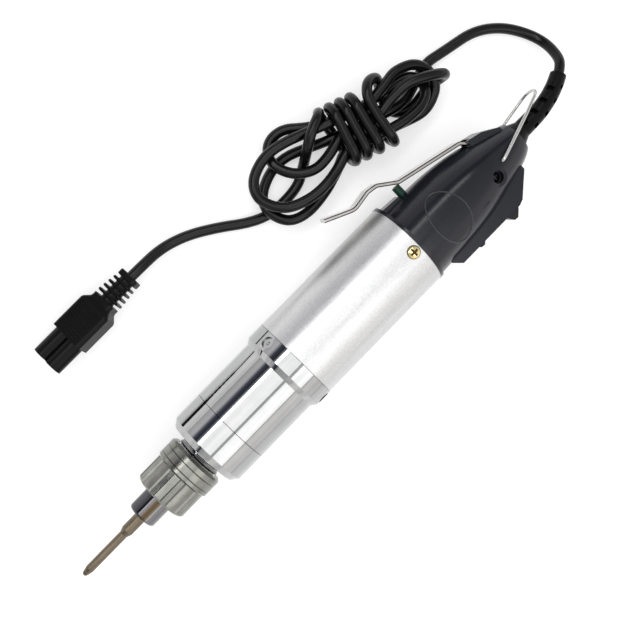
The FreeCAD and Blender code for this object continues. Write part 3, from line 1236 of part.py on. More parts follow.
# How far each of a turn's eight places lies between its ends along the hank: four under the waist,
# from the lower end of the turn before to this one's upper end, and four over it to the lower end.
WRAP_SHARES = (0.14, 0.58, 0.93, 1.0, 0.0, 0.5, 0.86, 0.98)
WRAP_PLACES = len(WRAP_SHARES)
UNDER_PLACES = WRAP_PLACES // 2
WRAP_HOOK = [((-22.6, -9.2, 17.5), (-0.75, 0.66))]


def wrap_along(place):
    turn, corner = divmod(place, WRAP_PLACES)
    upper = dim.wrap_top - dim.wrap_pitch * turn
    if corner < UNDER_PLACES:
        lower = upper + dim.wrap_pitch + dim.wrap_drift * dim.drift_fade ** (turn - 1)
        return lower + (upper - lower) * WRAP_SHARES[corner]
    return upper + dim.wrap_drift * dim.drift_fade ** turn * WRAP_SHARES[corner]


def wrap_stations():
    """The turns round the waist, from the top of the first to the hook where the tail leaves."""
    half = dim.wrap_half_width
    corner = dim.wrap_corner
    low = dim.cord_radius
    high = dim.row_low + dim.row_pitch + 2 * dim.cord_radius + dim.free_gap
    inner = half - corner
    # across, height and heading at the ends of each straight of one turn
    one_turn = [(inner, low, -1, 0), (-inner, low, -1, 0), (-half, low + corner, 0, 1),
                (-half, high - corner, 0, 1), (-inner, high, 1, 0), (inner, high, 1, 0),
                (half, high - corner, 0, -1), (half, low + corner, 0, -1)]
    quarter = corner * math.pi / 2
    runs = [2 * inner, quarter, high - low - 2 * corner, quarter] * 2
    stations = []
    for place in range(UNDER_PLACES + 1, WRAP_PLACES * int(dim.wrap_turns) + UNDER_PLACES):
        across, height, way_across, way_up = one_turn[place % WRAP_PLACES]
        travelled = runs[(place - 1) % WRAP_PLACES] + runs[place % WRAP_PLACES]
        slope = (wrap_along(place + 1) - wrap_along(place - 1)) / travelled
        point = hank_point(wrap_along(place), dim.waist_side + across, height)
        stations.append((point, hank_way(slope, way_across, way_up)))
    return stations + hank_passes(WRAP_HOOK)


def make_wound_cord():
    radius = dim.cord_radius
    wrap = wrap_stations()
    hank = hank_stations()
    start, start_way = wrap[0]
    hank.append((start - start_way * 2 * radius, start_way))
    hank.append((start, start_way))
    first, first_way = hank[0]
    hank.insert(0, (first - first_way * 2 * radius, first_way))
    end, end_way = wrap[-1]
    wrap.append((end + end_way * radius, end_way))
    for label, stations in (("cord_hank", hank), ("cord_wrap", wrap)):
        tube, path = wound_tube(stations, radius)
        print(label, "length", round(path.Length, 1))
        solid(label, tube)
    return hank[0], wrap[-1]


# The cord's free stretches: points chosen by hand, as (x, y, height above the table),
# and where the tail crosses the hank as (along, across, height).
LEAD_ROUTE = [(-133.6, -8.4, 11.6), (-135.6, -14.8, 6.0), (-133.6, -23.0, 2.4), (-127.0, -32.5, 2.2),
              (-117.0, -39.5, 2.2)]
TAIL_CROSSING = [(-28.4, -2.8, 15.8), (-30.6, 1.6, 9.2), (-33.0, 5.8, 3.8), (-36.8, 10.4, 2.25),
                 (-45.0, 14.0, 2.2), (-54.0, 16.0, 2.2)]
TAIL_ROUTE = [(7.0, -50.4, 2.2), (15.5, -56.8, 2.2), (27.0, -63.8, 2.2), (38.5, -67.6, 3.2)]


def route(points):
    return [Vector(x, y, on_table(height)) for x, y, height in points]


def plug_height():
    """How high the rolled plug's axis lies when its lower edge rests on the table."""
    roll = math.radians(dim.plug_roll)
    corner = dim.plug_corner
    across = dim.plug_width / 2 - corner
    up = dim.plug_height / 2 - corner
    return across * math.sin(roll) + up * math.cos(roll) + corner


def plug_place(shape):
    """Lay a shape made along +X about the origin at the plug's place, rolled on its axis."""
    shape.rotate(Vector(), Vector(1, 0, 0), dim.plug_roll)
    shape.translate(Vector(dim.plug_x, dim.plug_y, on_table(plug_height())))
    return shape


def rounded_ring(x, width, height, corner):
    """A rectangle with round corners, square to the plug's axis."""
    across = width / 2 - corner
    up = height / 2 - corner
    diagonal = corner / math.sqrt(2)
    edges = []
    last = None
    for way_y, way_z in ((1, 1), (-1, 1), (-1, -1), (1, -1)):
        middle = Vector(x, way_y * across, way_z * up)
        out = [middle + Vector(0, way_y * corner, 0), middle + Vector(0, 0, way_z * corner)]
        if way_y * way_z < 0:
            out.reverse()
        if last:
            edges.append(Part.LineSegment(last, out[0]).toShape())
        bend = middle + Vector(0, way_y * diagonal, way_z * diagonal)
        edges.append(Part.Arc(out[0], bend, out[1]).toShape())
        last = out[1]
    edges.append(Part.LineSegment(last, edges[0].Vertexes[0].Point).toShape())
    return Part.Wire(edges)


def rounded_block(rear, front, width, height, corner, edge):
    """A block with round corners, its two ends chamfered by the edge."""
    places = [(rear, 2 * edge), (rear + edge, 0), (front - edge, 0), (front, 2 * edge)]
    return Part.makeLoft([rounded_ring(x, width - less, height - less, corner - less / 2)
                          for x, less in places], True, True)


def plug_shell():
    """The plug's moulded body: a neck, a shoulder that swells from it, and a straight block."""
    steps = 4
    rings = [rounded_ring(-dim.plug_neck, dim.neck_width, dim.neck_height, dim.plug_corner)]
    for i in range(steps + 1):
        swell = (1 - math.cos(math.pi * i / steps)) / 2
        x = -dim.plug_neck / 2 + (dim.plug_shoulder + dim.plug_neck / 2) * i / steps
        width = dim.neck_width + (dim.plug_width - dim.neck_width) * swell
        height = dim.neck_height + (dim.plug_height - dim.neck_height) * swell
        rings.append(rounded_ring(x, width, height, dim.plug_corner))
    rings.append(rounded_ring(dim.plug_length, dim.plug_width, dim.plug_height, dim.plug_corner))
    return Part.makeLoft(rings, True, True)


def make_plug():
    width, height = dim.plug_width, dim.plug_height
    length = dim.plug_length
    nose_way = Vector(dim.nose_reach, 0, 0)
    nose = []
    for way in (-1, 1):
        nose.append(cylinder(dim.lobe_radius, Vector(length, way * dim.lobe_spacing / 2, 0), nose_way))
    body = plug_shell().fuse(nose)
    outer = dim.contact_bore + dim.contact_wall
    tip = length + dim.nose_reach
    depth = dim.contact_depth + dim.contact_set_back
    contacts = []
    for way in (-1, 1):
        start = Vector(tip - depth, way * dim.contact_spacing / 2, 0)
        body = body.cut(cylinder(outer + dim.slip_gap, start, Vector(depth, 0, 0)))
        sleeve = cylinder(outer, start, Vector(dim.contact_depth, 0, 0))
        bore = cylinder(dim.contact_bore, start + Vector(dim.contact_set_back, 0, 0), Vector(depth, 0, 0))
        contacts.append(sleeve.cut(bore))
    slit = dim.plug_rib_pitch / 4
    rib_half = width / 2 - dim.rib_inset
    first_rib = (length + dim.plug_shoulder - dim.plug_rib_pitch * (dim.plug_ribs - 1)) / 2
    for i in range(int(dim.plug_ribs)):
        x = first_rib + i * dim.plug_rib_pitch
        for way in (-1, 1):
            low, high = sorted((way * (height / 2 - dim.plug_rib_depth), way * height))
            body = body.cut(box_between((x - slit, -rib_half, low), (x + slit, rib_half, high)))
    solid("plug_body", plug_place(body.removeSplitter()))
    solid("plug_contacts", plug_place(Part.makeCompound(contacts)))
    return make_plug_relief()


def make_plug_relief():
    """A core with thin discs along it and a thicker collar where the cord comes out."""
    rear = -dim.plug_neck
    collar_front = rear - dim.disc_gap - dim.plug_discs * dim.disc_pitch
    end = collar_front - dim.end_collar
    shape = cylinder(dim.plug_core, Vector(end, 0, 0), Vector(rear - end, 0, 0))
    stretches = []
    for i in range(int(dim.plug_discs)):
        stretches.append((rear - dim.disc_gap - i * dim.disc_pitch, dim.disc_thickness))
    stretches.append((collar_front, dim.end_collar))
    for i, (front, thickness) in enumerate(stretches):
        shrink = dim.disc_shrink * i
        shape = shape.fuse(rounded_block(front - thickness, front, dim.disc_width - shrink,
                                         dim.disc_height - shrink, dim.plug_corner, dim.disc_edge))
    solid("plug_relief", plug_place(shape.removeSplitter()))
    return Vector(dim.plug_x + end, dim.plug_y, on_table(plug_height()))


def make_cord(relief_end, relief_way):
    (hank_start, hank_way_in), (wrap_end, wrap_way) = make_wound_cord()
    reach = 2 * dim.cord_radius
    lead = [relief_end, relief_end + relief_way * reach] + route(LEAD_ROUTE)
    lead += [hank_start - hank_way_in * reach, hank_start]
    cord_tube("cord_lead", lead)
    plug_end = make_plug()
    crossing = [hank_point(*point) for point in TAIL_CROSSING]
    tail = [wrap_end, wrap_end + wrap_way * dim.cord_radius] + crossing + route(TAIL_ROUTE)
    tail += [plug_end - Vector(reach, 0, 0), plug_end]
    cord_tube("cord_tail", tail)


make_bit()
make_chuck()
make_torque_nut()
rear_case_body = make_gear_case()
make_collar(rear_case_body)
make_gears()
make_motor()
make_body()
make_cap()
make_cap_fittings()
make_bail()
make_cord(*make_strain_relief())

doc.recompute()
faults = [item.Label for item in doc.Objects if "Invalid" in item.State or "Error" in item.State]
for node in NODES:
    if node.Shape.isNull() or not node.Shape.isValid() or node.Shape.Volume <= 0:
        faults.append(node.Label)
if faults:
    raise SystemExit("faulty objects: " + ", ".join(faults))

os.makedirs("parts", exist_ok=True)
for node in NODES:
    node.Shape.exportStep(os.path.join("parts", node.Label + ".step"))
print(len(NODES), "nodes written")
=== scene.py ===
# %% [markdown]
# An electric screwdriver lies on a pale table with its cord tied up beside it. The solids come
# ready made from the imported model, in metres, in the row frame: +X runs along the spindle to the
# bit, +Z is up, the switch pod is on +Y and the start lever on -Y. This lesson adds what the solids
# lack: the camera, the light, one smooth cord and a finish for every surface.

import json
import math

import bpy
from mathutils import Matrix, Vector
from mathutils.bvhtree import BVHTree

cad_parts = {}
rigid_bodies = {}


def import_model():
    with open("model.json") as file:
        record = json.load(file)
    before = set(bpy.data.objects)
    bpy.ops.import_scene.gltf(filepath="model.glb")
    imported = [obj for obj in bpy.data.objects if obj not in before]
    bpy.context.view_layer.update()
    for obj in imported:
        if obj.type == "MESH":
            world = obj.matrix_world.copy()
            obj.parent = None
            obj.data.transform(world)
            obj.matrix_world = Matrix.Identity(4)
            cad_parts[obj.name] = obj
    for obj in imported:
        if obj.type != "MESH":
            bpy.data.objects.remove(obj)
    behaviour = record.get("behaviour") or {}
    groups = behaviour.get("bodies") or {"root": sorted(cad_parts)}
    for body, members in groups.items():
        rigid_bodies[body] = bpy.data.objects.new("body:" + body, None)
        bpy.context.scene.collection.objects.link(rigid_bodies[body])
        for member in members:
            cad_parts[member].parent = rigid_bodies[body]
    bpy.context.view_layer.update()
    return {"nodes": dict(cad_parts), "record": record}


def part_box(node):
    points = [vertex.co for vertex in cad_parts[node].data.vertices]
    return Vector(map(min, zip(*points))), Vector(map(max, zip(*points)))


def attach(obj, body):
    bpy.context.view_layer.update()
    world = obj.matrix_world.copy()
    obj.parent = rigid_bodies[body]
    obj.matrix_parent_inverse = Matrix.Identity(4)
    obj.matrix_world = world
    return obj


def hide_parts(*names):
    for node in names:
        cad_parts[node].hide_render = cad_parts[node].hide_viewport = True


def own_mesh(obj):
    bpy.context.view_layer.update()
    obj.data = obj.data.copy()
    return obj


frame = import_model()
nodes = frame["nodes"]
scene = bpy.context.scene
MM = 0.001


def add_object(name, data):
    made = bpy.data.objects.new(name, data)
    scene.collection.objects.link(made)
    return made


# %% [markdown]
# The camera comes first, because everything else is judged through it. The photograph looks almost
# straight down, a little from the lever's side, with the tool running from the upper right to the
# lower left. Its directions were fitted to a few points of the tool whose places are known, so the
# camera is placed by a matrix made of them rather than by turning it until it looks right.

# %% Camera
VIEW_RIGHT = Vector((-0.6979, 0.6907, 0.1895)).normalized()
VIEW_BACK = Vector((0.0595, -0.2077, 0.9764)).normalized()
VIEW_UP = VIEW_BACK.cross(VIEW_RIGHT)
VIEW_PLACE = Vector((39.72, -92.46, 417.05)) * MM
LENS_LENGTH = 60
SENSOR_WIDTH = 36
NEAREST = 0.01

camera_data = bpy.data.cameras.new("camera")
camera_data.lens = LENS_LENGTH
camera_data.sensor_width = SENSOR_WIDTH
camera_data.clip_start = NEAREST
camera = add_object("camera", camera_data)
view_turn = Matrix((VIEW_RIGHT, VIEW_UP, VIEW_BACK)).transposed()
camera.matrix_world = Matrix.Translation(VIEW_PLACE) @ view_turn.to_4x4()
scene.camera = camera
print("camera looks along", [round(value, 3) for value in -VIEW_BACK])

# %% [markdown]
# The cord is one length of soft black lead. It leaves the strain relief, curves over to the hank,
# runs to and fro through the loops, goes round their waist in a few turns and ends at the plug. It
# could be a chain of arcs, but a NURBS curve suits it better: its control points are few on the free
# stretches and follow the loops' own formula in the hank, and it never looks like bent wire.
# The hank has its own directions: along its length, across it, and height above the table.

# %% The hank's directions
CORD_RADIUS = 2.2
TABLE_TOP = -19.2
TABLE_GAP = 0.05
TABLE = TABLE_TOP + TABLE_GAP
HANK_MIDDLE = Vector((-57.4, -44.1, TABLE))
HANK_TURN = math.radians(161.3)
HANK_ALONG = Vector((math.cos(HANK_TURN), math.sin(HANK_TURN), 0))
HANK_ACROSS = Vector((math.sin(HANK_TURN), -math.cos(HANK_TURN), 0))
UPWARD = Vector((0, 0, 1))
BOW_SHARE = 1.08
STEPS_BETWEEN = 3


def hank_point(along, across, height):
    return HANK_MIDDLE + HANK_ALONG * along + HANK_ACROSS * across + UPWARD * height


def hank_way(along, across, height=0.0):
    return (HANK_ALONG * along + HANK_ACROSS * across + UPWARD * height).normalized()


def smooth_points(stations):
    """Points of the smooth curve that passes each station in its own direction."""
    points = []
    for (start, way), (end, end_way) in zip(stations, stations[1:]):
        reach = (end - start).length * BOW_SHARE
        for i in range(STEPS_BETWEEN):
            s = i / STEPS_BETWEEN
            ahead = 3 * s ** 2 - 2 * s ** 3
            bow = way * (s ** 3 - 2 * s ** 2 + s) + end_way * (s ** 3 - s ** 2)
            points.append(start * (1 - ahead) + end * ahead + bow * reach)
    return points + [stations[-1][0]]


print("hank lies along", [round(value, 3) for value in HANK_ALONG])

# %% [markdown]
# Six strands lie inside the wrap in two rows of three. Each loop outside it has its own reach, as loops
# of a soft cord tied by hand do: they fan out, rise over one another and fall back to the table. So the
# strands in the waist come from a formula, and the loops from a few places each, chosen one by one.

# %% Loops of the hank
LEFT, RIGHT = -1, 1
WAIST_ALONG = {LEFT: -12.6, RIGHT: 1.5}
WAIST_SIDE = -0.6
COLUMN_PITCH = 6.5
ROW_PITCH = 4.85
ROW_LOW = 7.1
# side, first strand and the way it leaves, places passed with the way there, last strand and the way back
LOOPS = [
    (LEFT, (0, 0), (-1, 0),
     [((-27.5, -1.7, 4.2), (-1, -0.1, -0.2)), ((-38.0, -1.8, 2.3), (-1, 0.2)),
      ((-48.5, 3.6, 3.1), (-0.75, 0.66, 0.2)), ((-53.4, 11.5, 6.3), (-0.08, 1, 0.35)),
      ((-49.6, 19.3, 7.9), (0.68, 0.73, 0.08)), ((-41.0, 21.8, 8.0), (1, -0.08)),
      ((-29.0, 17.4, 7.7), (0.9, -0.44)), ((-20.5, 11.8, 7.2), (0.82, -0.55))],
     (1, 0), (1, -0.18)),
    (RIGHT, (1, 0), (1, 0),
     [((17.0, 6.2, 7.1), (1, 0.02)), ((26.5, 4.0, 7.4), (0.8, -0.6)), ((32.0, -4.0, 8.8), (0, -1, 0.1)),
      ((28.0, -12.2, 10.4), (-0.8, -0.6, 0.12)), ((18.5, -14.0, 11.4), (-1, 0.02, 0.1)),
      ((10.5, -10.7, 11.95), (-0.94, 0.32))],
     (-1, 1), (-1, 0.2)),
    (LEFT, (-1, 1), (-1, 0),
     [((-27.0, -7.6, 11.3), (-1, -0.05, -0.03)), ((-40.0, -7.4, 10.7), (-1, 0.12)),
      ((-51.2, -2.2, 10.5), (-0.75, 0.66)), ((-55.0, 5.6, 11.0), (0, 1, 0.1)),
      ((-50.0, 13.6, 12.0), (0.75, 0.66, 0.1)), ((-38.5, 16.6, 12.7), (1, -0.02)),
      ((-28.0, 14.4, 12.8), (0.93, -0.36)), ((-20.5, 10.6, 12.2), (0.86, -0.5))],
     (1, 1), (1, -0.18)),
    (RIGHT, (1, 1), (1, 0),
     [((11.0, 5.6, 11.95), (1, -0.1)), ((18.5, 4.0, 11.7), (0.97, -0.25)),
      ((24.6, 0.8, 11.0), (0.75, -0.66, -0.1)), ((26.8, -4.9, 9.4), (-0.06, -1, -0.22)),
      ((20.8, -10.2, 7.8), (-1, -0.06, -0.15)), ((13.0, -9.2, 7.15), (-1, 0.14))],
     (-1, 0), (-1, 0.08)),
    (LEFT, (-1, 0), (-1, 0.02),
     [((-25.0, -9.6, 6.6), (-1, -0.28, -0.06)), ((-33.8, -12.4, 5.4), (-1, 0.02, -0.1)),
      ((-41.4, -9.2, 5.2), (-0.6, 0.8, 0.12)), ((-43.2, -3.2, 6.8), (0.1, 1, 0.35)),
      ((-39.6, 3.2, 8.9), (0.7, 0.7, 0.25)), ((-31.0, 7.0, 10.7), (0.97, 0.15, 0.15)),
      ((-22.0, 4.6, 11.9), (0.92, -0.42, 0.05))],
     (0, 1), (1, -0.22)),
]
ENTRY = [((36.0, -11.8, 2.25), (-1, 0.12)), ((26.5, -6.6, 2.6), (-0.85, 0.5, 0.12)),
         ((18.5, -1.8, 4.8), (-0.92, 0.3, 0.3)), ((9.0, -0.6, 7.1), (-1, 0, 0.02))]
POKE_STRAND = (0, 1)
POKE_LEAVING = (1, -0.16)
POKE = [((11.0, -5.0, 13.6), (0.93, -0.3, 0.3)), ((20.0, -7.6, 16.0), (1, 0.04, 0.08)),
        ((30.0, -6.2, 15.6), (0.97, 0.2, -0.14)), ((37.0, -3.9, 9.2), (0, 0.15, -1)),
        ((31.2, -2.3, 2.7), (-0.98, 0.25, -0.06)), ((21.0, 2.2, 2.25), (-0.95, 0.3)),
        ((10.6, -1.8, 2.25), (-0.25, -0.97)), ((11.2, -8.8, 2.3), (0.08, -1, 0.04)),
        ((10.7, -14.4, 6.9), (-0.28, -0.35, 0.9)), ((7.2, -15.3, 11.6), (-0.75, 0.05, 0.66)),
        ((2.7, -12.3, 15.8), (-0.42, 0.77, 0.48)), ((1.6, -6.6, 16.65), (0.1, 1))]


def passing(places):
    return [(hank_point(*point), hank_way(*way)) for point, way in places]


def waist(side, strand, way):
    column, row = strand
    across = WAIST_SIDE + column * COLUMN_PITCH
    return hank_point(WAIST_ALONG[side], across, ROW_LOW + row * ROW_PITCH), hank_way(*way)


hank_stations = passing(ENTRY)
for side, first, leaving, places, last, returning in LOOPS:
    hank_stations.append(waist(side, first, leaving))
    hank_stations += passing(places)
    hank_stations.append(waist(side, last, returning))
hank_stations.append(waist(RIGHT, POKE_STRAND, POKE_LEAVING))
hank_stations += passing(POKE)
print("hank:", len(LOOPS), "loops and a poking end,", len(hank_stations), "stations")

# %% [markdown]
# The wrap goes round the six strands like a rounded box. Each turn comes up on the far side, lies over
# the top and slants off a little towards the tool, the first one most, as a cord does when it is wound
# by hand and pulled tight only at the end. All turns come from one list of eight places on that box.

# %% Turns of the wrap
WRAP_TURNS = 4
WRAP_PITCH = 4.72
WRAP_TOP = 1.0
WRAP_DRIFT = 5.2
DRIFT_FADE = 0.55
WRAP_HALF = 11.9
WRAP_CORNER = 5.6
WRAP_SLACK = 0.3
WRAP_LOW = CORD_RADIUS
WRAP_HIGH = ROW_LOW + ROW_PITCH + 2 * CORD_RADIUS + WRAP_SLACK
# how far each of a turn's eight places lies between its ends: four under the waist, four over it
WRAP_SHARES = (0.14, 0.58, 0.93, 1.0, 0.0, 0.5, 0.86, 0.98)
TURN_PLACES = len(WRAP_SHARES)
UNDER_PLACES = TURN_PLACES // 2
FIRST_PLACE = 5
WRAP_HOOK = [((-22.6, -9.2, 17.5), (-0.75, 0.66))]

inner = WRAP_HALF - WRAP_CORNER
one_turn = [(inner, WRAP_LOW, -1, 0), (-inner, WRAP_LOW, -1, 0),
            (-WRAP_HALF, WRAP_LOW + WRAP_CORNER, 0, 1), (-WRAP_HALF, WRAP_HIGH - WRAP_CORNER, 0, 1),
            (-inner, WRAP_HIGH, 1, 0), (inner, WRAP_HIGH, 1, 0),
            (WRAP_HALF, WRAP_HIGH - WRAP_CORNER, 0, -1), (WRAP_HALF, WRAP_LOW + WRAP_CORNER, 0, -1)]
corner_run = WRAP_CORNER * math.pi / 2
side_runs = [2 * inner, corner_run, WRAP_HIGH - WRAP_LOW - 2 * WRAP_CORNER, corner_run] * 2


def wrap_along(place):
    turn, corner = divmod(place, TURN_PLACES)
    upper = WRAP_TOP - WRAP_PITCH * turn
    if corner < UNDER_PLACES:
        lower = upper + WRAP_PITCH + WRAP_DRIFT * DRIFT_FADE ** (turn - 1)
        return lower + (upper - lower) * WRAP_SHARES[corner]
    return upper + WRAP_DRIFT * DRIFT_FADE ** turn * WRAP_SHARES[corner]


wrap_stations = []
for place in range(FIRST_PLACE, TURN_PLACES * WRAP_TURNS + UNDER_PLACES):
    across, height, way_across, way_up = one_turn[place % TURN_PLACES]
    run = side_runs[(place - 1) % TURN_PLACES] + side_runs[place % TURN_PLACES]
    slope = (wrap_along(place + 1) - wrap_along(place - 1)) / run
    point = hank_point(wrap_along(place), WAIST_SIDE + across, height)
    wrap_stations.append((point, hank_way(slope, way_across, way_up)))
wrap_stations += passing(WRAP_HOOK)
print("wrap:", WRAP_TURNS, "turns,", len(wrap_stations), "stations")

# %% [markdown]
# The free stretches are a few given points: the lead sinks from the strain relief to the table
# and sweeps round to the hank; the tail leaves the wrap, crosses over the upper strands, dives below
# the loops and runs along the table to the plug. Where two stretches meet, a short straight piece keeps
# the cord's direction.

# %% The cord's whole route
RELIEF_END = Vector((-126.44, -3.65, -2.73))
RELIEF_WAY = Vector((-0.886, -0.395, -0.242)).normalized()
LEAD = [(-133.6, -8.4, 11.6), (-135.6, -14.8, 6.0), (-133.6, -23.0, 2.4), (-127.0, -32.5, 2.2),
        (-117.0, -39.5, 2.2)]
CROSSING = [(-28.4, -2.8, 15.8), (-30.6, 1.6, 9.2), (-33.0, 5.8, 3.8), (-36.8, 10.4, 2.25),
            (-45.0, 14.0, 2.2), (-54.0, 16.0, 2.2)]
TAIL = [(7.0, -50.4, 2.2), (15.5, -56.8, 2.2), (27.0, -63.8, 2.2), (38.5, -67.6, 3.2)]
PLUG_END = Vector((54.4, -68.2, -11.66))


def table_point(x, y, height):
    return Vector((x, y, TABLE + height))


straight = 2 * CORD_RADIUS
wrap_first, wrap_first_way = wrap_stations[0]
hank_stations.append((wrap_first - wrap_first_way * straight, wrap_first_way))
hank_first, hank_first_way = hank_stations[0]
wrap_last, wrap_last_way = wrap_stations[-1]
cord_points = [RELIEF_END, RELIEF_END + RELIEF_WAY * straight]
cord_points += [table_point(*point) for point in LEAD]
cord_points += [hank_first - hank_first_way * 2 * straight, hank_first - hank_first_way * straight]
cord_points += smooth_points(hank_stations)
cord_points += smooth_points(wrap_stations)
cord_points.append(wrap_last + wrap_last_way * straight)
cord_points += [hank_point(*point) for point in CROSSING]
cord_points += [table_point(*point) for point in TAIL]
cord_points += [PLUG_END - Vector((straight, 0, 0)), PLUG_END]
print("cord:", len(cord_points), "control points")

# %% [markdown]
# A round line is a NURBS curve with a bevel: the curve is the middle of the cord and the bevel gives it
# its thickness. The spline's order is set after its points, because a spline with one point can't hold
# it. The finished cord stands for the four plain solids of its stretches and carries the plug.

# %% The cord as one curve
CORD_ROUNDNESS = 6
CORD_SMOOTHNESS = 6


def round_line(name, points, thickness, roundness, smoothness):
    """A NURBS curve of round section, with its control points and thickness in metres."""
    curve = bpy.data.curves.new(name, "CURVE")
    curve.dimensions = "3D"
    curve.bevel_depth = 1.0
    curve.bevel_resolution = roundness
    curve.resolution_u = smoothness
    line = curve.splines.new("NURBS")
    line.points.add(len(points) - 1)
    for control, point in zip(line.points, points):
        control.co = (*point, 1.0)
        control.radius = thickness
    return curve, line


cord_curve, spline = round_line("cord", [point * MM for point in cord_points], CORD_RADIUS * MM,
                                CORD_ROUNDNESS, CORD_SMOOTHNESS)
cord_curve.use_fill_caps = True
spline.order_u = 3
spline.use_endpoint_u = True
cord = add_object("cord", cord_curve)
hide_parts("cord_lead", "cord_hank", "cord_wrap", "cord_tail")
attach(cord, "housing")
print("cord:", round(2 * CORD_RADIUS, 2), "mm thick")

# %% [markdown]
# A moulded oval border stands a little proud of the cap's upper flank, round a plain field. It is a
# closed round line. Its points are laid out as an ellipse in plan and dropped straight down on to the
# cap, so the line follows the cap's swelling side and sits half sunk in it.

# %% Oval border on the cap
OVAL_MIDDLE = (-49.1, 1.3)
OVAL_HALF = (8.0, 11.5)
OVAL_POINTS = 40
OVAL_THICKNESS = 0.3
OVAL_ROUNDNESS = 3
OVAL_SMOOTHNESS = 12
ABOVE = 60.0

cap_mesh = nodes["cap_upper_half"].data
cap_skin = BVHTree.FromPolygons([corner.co for corner in cap_mesh.vertices],
                                [tuple(face.vertices) for face in cap_mesh.polygons])
oval_points = []
for i in range(OVAL_POINTS):
    turn = 2 * math.pi * i / OVAL_POINTS
    x = OVAL_MIDDLE[0] + OVAL_HALF[0] * math.cos(turn)
    y = OVAL_MIDDLE[1] + OVAL_HALF[1] * math.sin(turn)
    oval_points.append(cap_skin.ray_cast(Vector((x, y, ABOVE)) * MM, -UPWARD)[0])
oval_curve, oval_line = round_line("cap_oval", oval_points, OVAL_THICKNESS * MM, OVAL_ROUNDNESS,
                                   OVAL_SMOOTHNESS)
oval_line.order_u = 4
oval_line.use_cyclic_u = True
cap_oval = add_object("cap_oval", oval_curve)
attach(cap_oval, "housing")
print("oval border:", OVAL_POINTS, "points on the cap")

# %% [markdown]
# The table is a plain pale floor, far wider than the view. A long way off it turns up in a low rim, as a
# photographer's paper sweep does, so that a low view ends on the same pale sheet. It is a mesh of rings
# round a flat middle.

# %% Floor
# how far out and how high each ring lies, in metres
FLOOR_PROFILE = [(7.0, 0.0), (7.5, 0.05), (7.85, 0.25), (8.0, 0.9)]
FLOOR_SIDES = 64
floor_z = TABLE_TOP * MM
floor_corners = []
for reach, rise in FLOOR_PROFILE:
    for i in range(FLOOR_SIDES):
        turn = 2 * math.pi * i / FLOOR_SIDES
        floor_corners.append((reach * math.cos(turn), reach * math.sin(turn), floor_z + rise))
floor_faces = [tuple(range(FLOOR_SIDES))]
for ring in range(len(FLOOR_PROFILE) - 1):
    for i in range(FLOOR_SIDES):
        near = ring * FLOOR_SIDES + i
        beside = ring * FLOOR_SIDES + (i + 1) % FLOOR_SIDES
        floor_faces.append((near, beside, beside + FLOOR_SIDES, near + FLOOR_SIDES))
floor_mesh = bpy.data.meshes.new("floor")
floor_mesh.from_pydata(floor_corners, [], floor_faces)
floor = add_object("floor", floor_mesh)
print("floor at", round(floor_z, 5))

# %% [markdown]
# Polished round metal shows the room as lengthwise stripes: each strip of the case mirrors one angle
# round the spindle. So each lamp is placed by that angle, counted from straight up and positive towards
# the switch pod, and is as wide as the stripe that it draws. Two are broad and soft. The third is a long
# narrow strip beside the dark side of the room, for the sharp light line next to the case's dark stripe.
# A lamp's power follows from how bright its face is and how large it is.

# %% Lamps
LAMP_DISTANCE = 0.85
LAMP_X = 0.03


def soft_lamp(name, first_angle, last_angle, length, brightness):
    """A soft lamp that fills the angles between two, as the spindle sees it."""
    middle = math.radians((first_angle + last_angle) / 2)
    half_width = LAMP_DISTANCE * math.tan(math.radians((last_angle - first_angle) / 2))
    lamp_data = bpy.data.lights.new(name, "AREA")
    lamp_data.shape = "RECTANGLE"
    lamp_data.size = length
    lamp_data.size_y = 2 * half_width
    lamp_data.energy = brightness * math.pi * lamp_data.size * lamp_data.size_y
    lamp = add_object(name, lamp_data)
    lamp.location = (LAMP_X, LAMP_DISTANCE * math.sin(middle), LAMP_DISTANCE * math.cos(middle))
    lamp.rotation_euler = (-middle, 0, 0)
    print(name, "power", round(lamp_data.energy, 2))


soft_lamp("lamp_edge", -40, -32, length=1.2, brightness=5.0)
soft_lamp("lamp_over", -31, 6, length=0.55, brightness=1.35)
soft_lamp("lamp_switch_side", 13, 48, length=0.55, brightness=1.5)

# %% [markdown]
# Shader arithmetic reads best as arithmetic. A Signal wraps one output socket, and an operator on it
# adds the Math node that does the work, so a mask or a roughness is written as a plain expression. The
# reflected forms let a number stand on the left.

# %% Signal
class Signal:
    """A number, colour or vector on its way through the nodes of a finish."""

    def __init__(self, finish, socket):
        self.finish = finish
        self.socket = socket

    def through(self, operation, first, second=None):
        values = {0: first} if second is None else {0: first, 1: second}
        return self.finish.node("ShaderNodeMath", {"operation": operation}, values)

    def __add__(self, other):
        return self.through("ADD", self, other)

    def __radd__(self, other):
        return self.through("ADD", other, self)

    def __mul__(self, other):
        return self.through("MULTIPLY", self, other)

    def __rmul__(self, other):
        return self.through("MULTIPLY", other, self)

    def __sub__(self, other):
        return self.through("SUBTRACT", self, other)

    def __rsub__(self, other):
        return self.through("SUBTRACT", other, self)

    def __truediv__(self, other):
        return self.through("DIVIDE", self, other)

    def __rtruediv__(self, other):
        return self.through("DIVIDE", other, self)

    def __abs__(self):
        return self.through("ABSOLUTE", self)

    def __lt__(self, limit):
        return self.through("LESS_THAN", self, limit)

    def __gt__(self, limit):
        return self.through("GREATER_THAN", self, limit)


print("signals add, multiply, divide and compare")

# %% [markdown]
# A Finish is one material, or the room's own shading. Its node method adds every node, with the settings
# first because they can change which sockets there are. The other methods are the few things that the
# finishes here are made of: grain, a colour between two, a relief, an angle round the spindle.

# %% Finish
# a colour Mix node's sockets go by place, because their names repeat
MIX_AMOUNT, MIX_DARK, MIX_LIGHT, MIX_COLOUR = 0, 6, 7, 2


